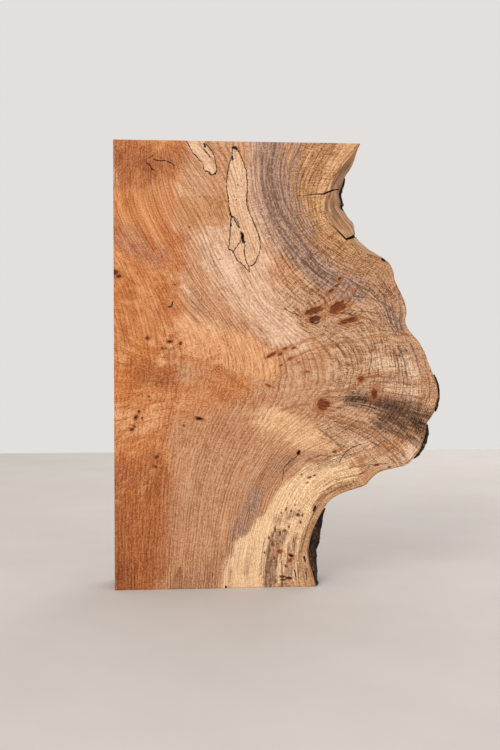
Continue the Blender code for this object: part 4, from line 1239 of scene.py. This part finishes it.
class Steps:
    """Adds the nodes of one tree, each fed with numbers, colours or what other nodes put out."""

    def __init__(self, tree):
        self.tree = tree

    def feed(self, socket, value):
        if isinstance(value, bpy.types.NodeSocket):
            self.tree.links.new(value, socket)
        elif value is not None:
            socket.default_value = value

    def node(self, kind, inputs=(), **settings):
        made = self.tree.nodes.new("ShaderNode" + kind)
        for name, value in settings.items():
            setattr(made, name, value)
        for key, value in dict(inputs).items():
            self.feed(made.inputs[key], value)
        return made

    def sum(self, operation, a, b=None, c=None, clamp=False):
        inputs = {k: v for k, v in enumerate((a, b, c)) if v is not None}
        return self.node("Math", inputs, operation=operation, use_clamp=clamp).outputs[0]

    def times(self, a, b):
        return self.sum("MULTIPLY", a, b)

    def plus(self, a, b):
        return self.sum("ADD", a, b)

    def less(self, a, b):
        return self.sum("SUBTRACT", a, b)

    def rest(self, share):
        """What a share leaves of the whole."""
        return self.less(1.0, share)

    def above_middle(self, value):
        return self.less(value, 0.5)

    def below_middle(self, value):
        return self.less(0.5, value)

    def gain(self, value, factor, base):
        """A base with so many times a value added."""
        return self.sum("MULTIPLY_ADD", value, factor, base)

    def highest(self, values):
        top = values[0]
        for value in values[1:]:
            top = self.sum("MAXIMUM", top, value)
        return top

    def ease(self, value, low, high, to_low=0.0, to_high=1.0):
        """Eases a value between two levels, and holds it beyond them."""
        inputs = {"Value": value, "From Min": low, "From Max": high, "To Min": to_low, "To Max": to_high}
        return self.node("MapRange", inputs, interpolation_type="SMOOTHSTEP").outputs["Result"]

    def vector(self, x, y, z=0.0):
        return self.node("CombineXYZ", {"X": x, "Y": y, "Z": z}).outputs[0]

    def clouds(self, place, scale=1.0, detail=2.0, roughness=0.5):
        inputs = {"Vector": place, "Scale": scale, "Detail": detail, "Roughness": roughness}
        return self.node("TexNoise", inputs).outputs["Fac"]

    def chance(self, number):
        """A random number for each whole number."""
        return self.node("TexWhiteNoise", {"W": number}, noise_dimensions="1D").outputs["Value"]

    def object_place(self):
        return self.node("TexCoord").outputs["Object"]

    def mix(self, share, under, over):
        """Lays one colour over another."""
        inputs = {0: share, 6: opaque(under), 7: opaque(over)}
        return self.node("Mix", inputs, data_type="RGBA").outputs[2]

    def mix_numbers(self, share, under, over):
        """Goes from one number to another as the share grows."""
        return self.node("Mix", {0: share, 2: under, 3: over}).outputs[0]

    def scale_colour(self, colour, factor):
        inputs = {0: colour, "Scale": factor}
        return self.node("VectorMath", inputs, operation="SCALE").outputs[0]

    def written(self, name, kind="Fac"):
        """What the figure wrote on the mesh under a name."""
        return self.node("Attribute", attribute_name=name).outputs[kind]

    def group(self, tree, inputs):
        return self.node("Group", inputs, node_tree=tree).outputs

    def bump(self, shader, height, settings):
        relief = self.node("Bump", {"Height": height, **settings})
        self.feed(shader.inputs["Normal"], relief.outputs[0])


def new_group(name, takes, gives):
    """An empty node group with named inputs and outputs."""
    tree = bpy.data.node_groups.new(name, "ShaderNodeTree")
    for label, kind in takes:
        tree.interface.new_socket(name=label, in_out="INPUT", socket_type="NodeSocket" + kind)
    for label, kind in gives:
        tree.interface.new_socket(name=label, in_out="OUTPUT", socket_type="NodeSocket" + kind)
    start = tree.nodes.new("NodeGroupInput")
    end = tree.nodes.new("NodeGroupOutput")
    return Steps(tree), start.outputs, end.inputs


def growth_rings(steps, ring, stretched):
    """The dark late wood of each growth ring, uneven in strength, and a tone for each ring."""
    sway = steps.clouds(stretched(SWAY_SIZES), detail=RING_DETAIL)
    waver = steps.plus(steps.times(ring, 1 / RING_SPAN), steps.times(sway, RING_SWAY))
    place, number = steps.sum("FRACT", waver), steps.sum("FLOOR", waver)
    late = steps.times(steps.ease(place, LATE_START, LATE_FULL), steps.ease(place, 1.0, LATE_END))
    strength = steps.ease(steps.chance(steps.plus(number, STRENGTH_SHIFT)), *RING_STRENGTHS)
    patchy = steps.ease(steps.clouds(stretched(PATCHY_SIZES), detail=RING_DETAIL), *RING_PATCHY)
    return steps.times(late, steps.times(strength, patchy)), steps.chance(number)


def grain_group():
    """Growth rings, fibres, pores, rays and broad drift, from ring number, place along and depth."""
    takes = [("Ring", "Float"), ("Along", "Float"), ("Depth", "Float")]
    names = ("Ring Line", "Ring Tone", "Pores", *GRAIN_NOISES, *HAIRS)
    steps, given, put = new_group("wood grain", takes, [(name, "Float") for name in names])

    def stretched(sizes):
        return steps.vector(*(steps.times(given[take[0]], 1 / size) for take, size in zip(takes, sizes)))

    made = {}
    made["Ring Line"], made["Ring Tone"] = growth_rings(steps, given["Ring"], stretched)
    made["Pores"] = steps.ease(steps.clouds(stretched(PORE_SIZES), detail=PORE_DETAIL), *PORE_LEVELS)
    for name, (sizes, detail, roughness) in GRAIN_NOISES.items():
        made[name] = steps.clouds(stretched(sizes), 1.0, detail, roughness)
    for name, (sizes, half_width) in HAIRS.items():
        broad = steps.clouds(stretched(sizes), 1.0, HAIR_DETAIL, HAIR_ROUGHNESS)
        made[name] = steps.ease(steps.sum("ABSOLUTE", steps.above_middle(broad)), half_width, 0.0)
    for name, value in made.items():
        steps.feed(put[name], value)
    return steps.tree


def torn_group():
    """Tears a tone's soft edge along the grain."""
    takes = [("Weight", "Float"), ("Drift", "Float")]
    steps, given, put = new_group("torn edge", takes, [("Weight", "Float")])
    weight = given["Weight"]
    room = steps.times(steps.times(weight, steps.rest(weight)), TEAR)
    torn = steps.sum("MULTIPLY_ADD", steps.above_middle(given["Drift"]), room, weight, clamp=True)
    steps.feed(put["Weight"], steps.times(steps.plus(torn, steps.ease(torn, *TORN_EDGE)), 0.5))
    return steps.tree


def gap_in(steps, given, sway=None):
    """The parts of a written offset, and its length, which the written distance holds up."""
    parts = steps.node("SeparateXYZ", {0: given["Offset"]}).outputs
    flat = steps.vector(parts["X"], parts["Y"])
    if sway is not None:
        flat = steps.node("VectorMath", {0: flat, 1: sway}, operation="ADD").outputs[0]
    gap = steps.node("VectorMath", {0: flat}, operation="LENGTH").outputs["Value"]
    return parts, steps.sum("MAXIMUM", gap, given["Far"])


def line_group():
    """How far a place lies beyond the edge of a drawn line, and the line's half width."""
    takes = [("Offset", "Vector"), ("Far", "Float"), ("Wobble", "Float"), ("Sway", "Vector")]
    steps, given, put = new_group("drawn line", takes, [("Over", "Float"), ("Half Width", "Float")])
    parts, gap = gap_in(steps, given, given["Sway"])
    gap = steps.gain(steps.above_middle(given["Wobble"]), LINE_WOBBLE, gap)
    steps.feed(put["Over"], steps.less(gap, parts["Z"]))
    steps.feed(put["Half Width"], parts["Z"])
    return steps.tree


def knot_sorts(steps, sort):
    """Which of the sorts fleck, ringed eye and pin a knot is of."""
    fleck = steps.ease(sort, PIN + SORT_LOW, PIN + SORT_HIGH)
    ringed = steps.ease(sort, EYE - SORT_LOW, EYE - SORT_HIGH)
    pin = steps.times(steps.ease(sort, EYE + SORT_LOW, EYE + SORT_HIGH), steps.rest(fleck))
    return fleck, ringed, pin


def knot_rings(steps, gap, even_gap, ringed, solid):
    """Thin rings: all through a ringed eye, and only round the body of a knot."""
    in_eye = steps.ease(steps.sum("SINE", steps.times(even_gap, EYE_RINGS)), *EYE_LEVELS)
    round_knot = steps.ease(steps.sum("SINE", steps.times(even_gap, KNOT_RINGS)), *KNOT_RING_LEVELS)
    round_knot = steps.times(round_knot, steps.times(solid, steps.ease(gap, *RINGS_START)))
    rings = steps.mix_numbers(ringed, round_knot, in_eye)
    return steps.times(rings, steps.ease(gap, *RINGS_END))


def knot_stripes(steps, parts, gap, seed):
    """The dark stripes of a knot's body, and its rim."""
    along, across = steps.times(parts["X"], STRIPE_ALONG), steps.times(parts["Y"], STRIPE_ACROSS)
    stripes = steps.ease(steps.clouds(steps.vector(along, across, seed), *STRIPE_NOISE), *STRIPE_LEVELS)
    rim = steps.ease(steps.sum("ABSOLUTE", steps.less(gap, RIM_PLACE)), *RIM_EDGE)
    return steps.sum("MAXIMUM", stripes, steps.times(rim, RIM_SHARE))


def knot_group():
    """A knot's halo, body, dark heart, stripes and rings, from the offset to it with its sort."""
    takes = [("Offset", "Vector"), ("Far", "Float"), ("Wobble", "Float"), ("Seed", "Float")]
    takes.append(("Shallow", "Float"))
    steps, given, put = new_group("knot", takes, [(kind, "Float") for kind in MARK_KINDS])
    parts, gap = gap_in(steps, given)
    stir = steps.above_middle(given["Wobble"])
    even_gap = steps.gain(stir, RING_STIR, gap)
    gap = steps.gain(stir, KNOT_STIR, gap)
    fleck, ringed, pin = knot_sorts(steps, parts["Z"])
    ended = steps.times(pin, steps.rest(given["Shallow"]))
    solid = steps.less(steps.less(steps.rest(fleck), ringed), ended)
    halo = steps.gain(ringed, RINGED_HALO, steps.gain(fleck, FLECK_HALO, 1.0))
    halo = steps.sum("SUBTRACT", halo, ended, clamp=True)
    body = steps.ease(gap, *BODY_EDGE)
    made = {
        "Halo": steps.times(steps.ease(gap, *HALO_EDGE), halo),
        "Body": steps.times(body, solid),
        "Heart": steps.times(steps.ease(gap, *HEART_EDGE), pin),
        "Rings": knot_rings(steps, gap, even_gap, ringed, solid),
        "Fleck": steps.times(body, fleck),
        "Stripes": knot_stripes(steps, parts, gap, given["Seed"]),
    }
    for kind, value in made.items():
        steps.feed(put[kind], value)
    return steps.tree


def darken_group():
    """Darkens or lightens wood as more or less of its colour does: deeper as well as darker."""
    takes = [("Colour", "Color"), ("Darkness", "Float")]
    steps, given, put = new_group("darker wood", takes, [("Colour", "Color")])
    darkness = given["Darkness"]
    deeper = steps.gain(darkness, DEEPEN, 1.0)
    colour = steps.node("Gamma", {"Color": given["Colour"], "Gamma": deeper}).outputs[0]
    darker = steps.sum("MAXIMUM", steps.gain(darkness, DARKEN, 1.0), DARKEST)
    steps.feed(put["Colour"], steps.scale_colour(colour, darker))
    return steps.tree


def new_look(name):
    """A new material, the steps of its tree and its shader."""
    look = bpy.data.materials.new(name)
    look.use_nodes = True
    steps = Steps(look.node_tree)
    shader = look.node_tree.nodes["Principled BSDF"]
    return look, steps, shader


def tone_colours(steps, torn, grain):
    """The broad tones and the spalt, laid one over another, and the weight of each tone."""
    colour, weights = BASE_TONE, {}
    for tone in TONES:
        name = tone["name"]
        if name in SPOKED:
            weight = steps.times(steps.written(name), steps.ease(grain["Spokes"], *SPOKED[name]))
        else:
            weight = steps.group(torn, {"Weight": steps.written(name), "Drift": grain["Drift"]})["Weight"]
        colour = steps.mix(weight, colour, tone["colour"])
        weights[name] = weight
    return steps.mix(steps.ease(steps.written("spalt"), *SPALT_EDGE), colour, SPALT_TONE), weights


def heart_figure(steps, grain, colour, heart):
    """The blotches and gleams of the orange heart."""
    figure = steps.plus(steps.times(grain["Blotch"], BLOTCH_SHARE), steps.times(grain["Curl"], CURL_SHARE))
    blotch = steps.times(steps.ease(figure, *BLOTCH_LEVELS), steps.times(heart, BLOTCH_STRENGTH))
    colour = steps.mix(blotch, colour, BLOTCH_TONE)
    gleam = steps.times(steps.ease(figure, *GLEAM_LEVELS), steps.times(heart, GLEAM_STRENGTH))
    return steps.mix(gleam, colour, GLEAM_TONE)


def fine_darkness(steps, grain, heart, spot):
    """How dark fibres, pores and the other fine parts of the grain are."""
    grit = steps.clouds(spot, GRIT_SCALE, GRIT_DETAIL)
    fibre = steps.gain(heart, HEART_FIBRE, OTHER_FIBRE)
    fine = steps.times(steps.below_middle(grain["Fibre"]), fibre)
    fine = steps.gain(steps.below_middle(grain["Crepe"]), CREPE_DARK, fine)
    fine = steps.gain(steps.below_middle(grit), GRIT_DARK, fine)
    fine = steps.gain(grain["Pores"], PORES_DARK, fine)
    return steps.gain(steps.below_middle(grain["Mottle"]), MOTTLE_DARK, fine)


def grain_darkness(steps, grain, weights, spot):
    """How much darker the grain makes the wood, from growth rings down to pores."""
    heart, lively = weights["heart_orange"], steps.written("lively")
    faint = steps.gain(steps.highest([heart, weights["heart_red"]]), HEART_RINGS, 1.0)
    dark = steps.gain(steps.times(grain["Ring Line"], faint), RING_DARK, EARLY_LIGHT)
    dark = steps.gain(steps.above_middle(grain["Ring Tone"]), RING_TONE_DARK, dark)
    dark = steps.gain(steps.below_middle(grain["Drift"]), DRIFT_DARK, dark)
    ring_hair = steps.times(grain["Ring Hair"], steps.ease(lively, 0.0, 1.0, *RING_HAIR_SHARE))
    dark = steps.gain(ring_hair, RING_HAIR_DARK, dark)
    dark = steps.gain(steps.times(grain["Ray Hair"], lively), RAY_HAIR_DARK, dark)
    fine = fine_darkness(steps, grain, heart, spot)
    dark = steps.gain(fine, steps.gain(lively, LIVELY_GAIN, 1.0), dark)
    strong_rays = steps.gain(lively, RAY_DARK_LIVELY, RAY_DARK)
    rays = steps.times(steps.below_middle(grain["Rays"]), strong_rays)
    return steps.sum("MAXIMUM", steps.plus(dark, rays), LIGHTEST)


def line_sway(steps, spot):
    """Small shifts that make drawn lines wander."""
    inputs = {"Vector": spot, "Scale": SWAY_SCALE, "Detail": SWAY_DETAIL}
    drift = steps.node("TexNoise", inputs).outputs["Color"]
    shift = steps.node("VectorMath", {0: drift, 1: (0.5, 0.5, 0.5)}, operation="SUBTRACT").outputs[0]
    return steps.scale_colour(shift, LINE_SWAY)


def near_marks(steps, tree, name, layers, shared):
    """What a group makes of the offsets written for lines or knots, layer by layer."""
    found = []
    for k in range(layers):
        offset, far = steps.written(f"{name}_{k}", "Vector"), steps.written(f"{name}_far_{k}")
        found.append(steps.group(tree, {"Offset": offset, "Far": far, **shared}))
    return found


def lay_streaks(steps, tree, grain, colour, shared):
    """Lays the streaks over the wood, broken up by its mottle."""
    for streak in STREAKS:
        for drawn in near_marks(steps, tree, streak["name"], STREAK_LAYERS, shared):
            share = steps.sum("DIVIDE", drawn["Over"], drawn["Half Width"])
            share = steps.times(steps.ease(share, *STREAK_EDGE), streak["strength"])
            share = steps.times(share, steps.ease(grain["Mottle"], *STREAK_BREAKS))
            colour = steps.mix(share, colour, streak["colour"])
    return colour


def lay_knots(steps, tree, colour, wobble, shallow):
    """Lays the knots over the wood. Gives the dark hearts too, which are sunk a little."""
    seed = steps.times(steps.written("along"), SEED_STEP)
    shared = {"Wobble": wobble, "Seed": seed, "Shallow": shallow}
    knots = near_marks(steps, tree, "knot", KNOT_LAYERS, shared)
    mask = {kind: steps.highest([knot[kind] for knot in knots]) for kind in MARK_KINDS}
    for kind in SHALLOW_MARKS:
        mask[kind] = steps.times(mask[kind], shallow)
    flesh = steps.mix(mask["Stripes"], FLESH_TONE, STRIPE_TONE)
    for kind, (tone, strength) in MARK_LOOKS.items():
        colour = steps.mix(steps.times(mask[kind], strength), colour, tone or flesh)
    return colour, mask["Heart"]


def end_grain_share(steps):
    """1 on the sawn top and foot, where the grain ends, and 0 on the faces."""
    normal = steps.node("NewGeometry").outputs["Normal"]
    upright = steps.node("SeparateXYZ", {0: normal}).outputs["Z"]
    return steps.ease(steps.sum("ABSOLUTE", upright), *END_GRAIN)


def sanded_finish(steps, shader, grain, end_grain, line, heart):
    """A satin surface with open pores and fibres, and with lines and pins sunk into it."""
    roughness = steps.gain(grain["Fibre"], FIBRE_ROUGHNESS, SANDED_ROUGHNESS)
    steps.feed(shader.inputs["Roughness"], steps.gain(end_grain, END_DULL, roughness))
    shader.inputs["Specular IOR Level"].default_value = SANDED_GLOSS
    height = steps.gain(grain["Pores"], PORE_RELIEF, steps.times(grain["Fibre"], FIBRE_RELIEF))
    height = steps.gain(heart, HEART_RELIEF, steps.gain(line, LINE_RELIEF, height))
    steps.bump(shader, height, SANDED_BUMP)


def maple_look(groups):
    """Sanded maple: tones, grain, spalt, knots and lines on the sawn faces."""
    look, steps, shader = new_look("sanded_maple")
    spot, depth = steps.object_place(), steps.written("depth")
    shallow = steps.ease(depth, MARK_DEPTH, MARK_FULL * MARK_DEPTH)
    place = {"Ring": steps.written("ring"), "Along": steps.written("along"), "Depth": depth}
    grain = steps.group(groups["grain"], place)

    colour, weights = tone_colours(steps, groups["torn"], grain)
    colour = heart_figure(steps, grain, colour, weights["heart_orange"])
    dark = grain_darkness(steps, grain, weights, spot)
    colour = steps.group(groups["darken"], {"Colour": colour, "Darkness": dark})["Colour"]

    wobble = steps.times(steps.plus(grain["Mottle"], grain["Crepe"]), 0.5)
    shared = {"Wobble": wobble, "Sway": line_sway(steps, spot)}
    colour = lay_streaks(steps, groups["line"], grain, colour, shared)
    colour, heart = lay_knots(steps, groups["knot"], colour, wobble, shallow)
    zones = near_marks(steps, groups["line"], "line", LINE_LAYERS, shared)
    line = steps.highest([steps.ease(drawn["Over"], *ZONE_EDGE) for drawn in zones])
    line = steps.times(line, shallow)
    colour = steps.mix(line, colour, ZONE_TONE)

    end_grain = end_grain_share(steps)
    colour = steps.scale_colour(colour, steps.gain(end_grain, END_DARK, 1.0))
    steps.feed(shader.inputs["Base Color"], colour)
    sanded_finish(steps, shader, grain, end_grain, line, heart)
    return look


def natural_look():
    """The trunk's own surface once the bark is off: ridged, brown and stained, and darker towards the
    back, partly as painted shade.
    """
    look, steps, shader = new_look("natural_maple")
    along, depth = steps.written("along"), steps.written("depth")

    def stretched(sizes):
        return steps.vector(steps.times(along, 1 / sizes[0]), steps.times(depth, 1 / sizes[1]))

    streak = steps.clouds(stretched(STREAK_SIZES), *STREAK_NOISE)
    thread = steps.clouds(stretched(THREAD_SIZES), *THREAD_NOISE)
    stain = steps.clouds(steps.object_place(), *STAIN_NOISE)
    colour = steps.mix(steps.ease(streak, *STREAK_LEVELS), NATURAL_DARK, NATURAL_PALE)
    colour = steps.mix(steps.ease(stain, *STAIN_SHARE), colour, STAIN_TONE)
    colour = steps.mix(steps.ease(thread, *THREAD_SHARE), colour, THREAD_TONE)
    # Darker towards the back: partly the wood's own colour, partly painted shade.
    colour = steps.mix(steps.ease(depth, *BACK_SHADE_SHARE), colour, BACK_SHADE_TONE)
    steps.feed(shader.inputs["Base Color"], colour)
    steps.feed(shader.inputs["Roughness"], steps.gain(streak, STREAK_ROUGHNESS, NATURAL_ROUGHNESS))
    shader.inputs["Specular IOR Level"].default_value = NATURAL_GLOSS
    steps.bump(shader, steps.gain(thread, THREAD_RELIEF, streak), NATURAL_BUMP)
    return look


def hollow_shade_look():
    """Painted shade inside checks and voids: near black, and browner near the show face."""
    look, steps, shader = new_look("check_painted_shade")
    stain = steps.clouds(steps.object_place(), *HOLLOW_NOISE)
    # The near-black inside and the browner lip are painted shade, not the wood's own colour.
    colour = steps.mix(steps.ease(stain, *HOLLOW_LEVELS), HOLLOW_SHADE_DARK, HOLLOW_SHADE_PALE)
    colour = steps.mix(steps.ease(steps.written("depth"), *LIP_DEPTH), colour, LIP_SHADE_TONE)
    steps.feed(shader.inputs["Base Color"], colour)
    steps.feed(shader.inputs["Roughness"], steps.ease(stain, *HOLLOW_ROUGHNESS))
    shader.inputs["Specular IOR Level"].default_value = HOLLOW_GLOSS
    return look


def bark_look():
    """Crumbly bark, near black partly of its own and partly as painted shade, with brown plates and pale
    scurf.
    """
    look, steps, shader = new_look("maple_bark")
    spot = steps.object_place()
    plates, crumbs = steps.clouds(spot, *PLATE_NOISE), steps.clouds(spot, *CRUMB_NOISE)
    scurf = steps.clouds(spot, *SCURF_NOISE)
    # The near-black plates are partly the bark's own dark colour and partly painted shade.
    colour = steps.mix(steps.ease(plates, *PLATE_LEVELS), PLATE_DARK_AND_SHADE, PLATE_PALE)
    colour = steps.mix(steps.ease(crumbs, *CRUMB_LEVELS), colour, CRUMB_TONE)
    colour = steps.mix(steps.ease(scurf, *SCURF_SHARE), colour, SCURF_TONE)
    steps.feed(shader.inputs["Base Color"], colour)
    steps.feed(shader.inputs["Roughness"], steps.ease(crumbs, *BARK_ROUGHNESS))
    shader.inputs["Specular IOR Level"].default_value = BARK_GLOSS
    steps.bump(shader, steps.gain(crumbs, CRUMB_RELIEF, plates), BARK_BUMP)
    return look


def set_stage():
    """A wide pale floor."""
    bm = bmesh.new()
    reach, end = FLOOR_REACH, FLOOR_END
    corners = ((-reach, -reach), (reach, -reach), (reach, end), (-reach, end))
    bm.faces.new([bm.verts.new((x, y, 0.0)) for x, y in corners])
    floor = new_mesh("floor", bm)
    look, steps, shader = new_look("pale_floor")
    mottle = steps.clouds(steps.object_place(), *FLOOR_NOISE)
    steps.feed(shader.inputs["Base Color"], steps.mix(mottle, FLOOR_TONE, FLOOR_LIGHT))
    shader.inputs["Roughness"].default_value = FLOOR_ROUGHNESS
    floor.data.materials.append(look)


def set_camera():
    camera = bpy.data.cameras.new("camera")
    camera.lens = LENS
    camera.sensor_width = SENSOR
    camera.clip_start = NEAREST_SHOWN
    holder = bpy.data.objects.new("camera", camera)
    x, y, z = CAMERA_PLACE
    holder.location = (LEFT + x, y - THICKNESS / 2 * MM, z)
    holder.rotation_euler = (math.radians(90 + CAMERA_PITCH), 0, math.radians(-CAMERA_YAW))
    bpy.context.scene.collection.objects.link(holder)
    bpy.context.scene.camera = holder


def soft_light(name, place, size, power, tint):
    lamp = bpy.data.lights.new(name, "AREA")
    lamp.shape = "DISK"
    lamp.size = size
    lamp.energy = power
    lamp.color = tint
    holder = bpy.data.objects.new(name, lamp)
    holder.location = place
    holder.rotation_euler = (Vector(LIGHT_AIM) - Vector(place)).to_track_quat("-Z", "Y").to_euler()
    bpy.context.scene.collection.objects.link(holder)


def set_lights():
    for name, place, size, power, tint in LIGHTS:
        soft_light(name, place, size, power, tint)
    world = bpy.data.worlds.new("studio")
    world.use_nodes = True
    background = world.node_tree.nodes["Background"]
    background.inputs["Color"].default_value = opaque(WALL_TONE)
    background.inputs["Strength"].default_value = WALL_LIGHT
    bpy.context.scene.world = world
    bpy.context.scene.view_settings.view_transform = "Standard"


def main():
    edge = LiveEdge()
    groups = {"grain": grain_group(), "torn": torn_group(), "line": line_group(), "knot": knot_group()}
    groups["darken"] = darken_group()
    bark = bark_look()
    make_board(edge, [maple_look(groups), natural_look()], hollow_shade_look())
    for patch in BARK_PATCHES:
        make_bark(edge, patch, bark)
    set_stage()
    set_camera()
    set_lights()


main()
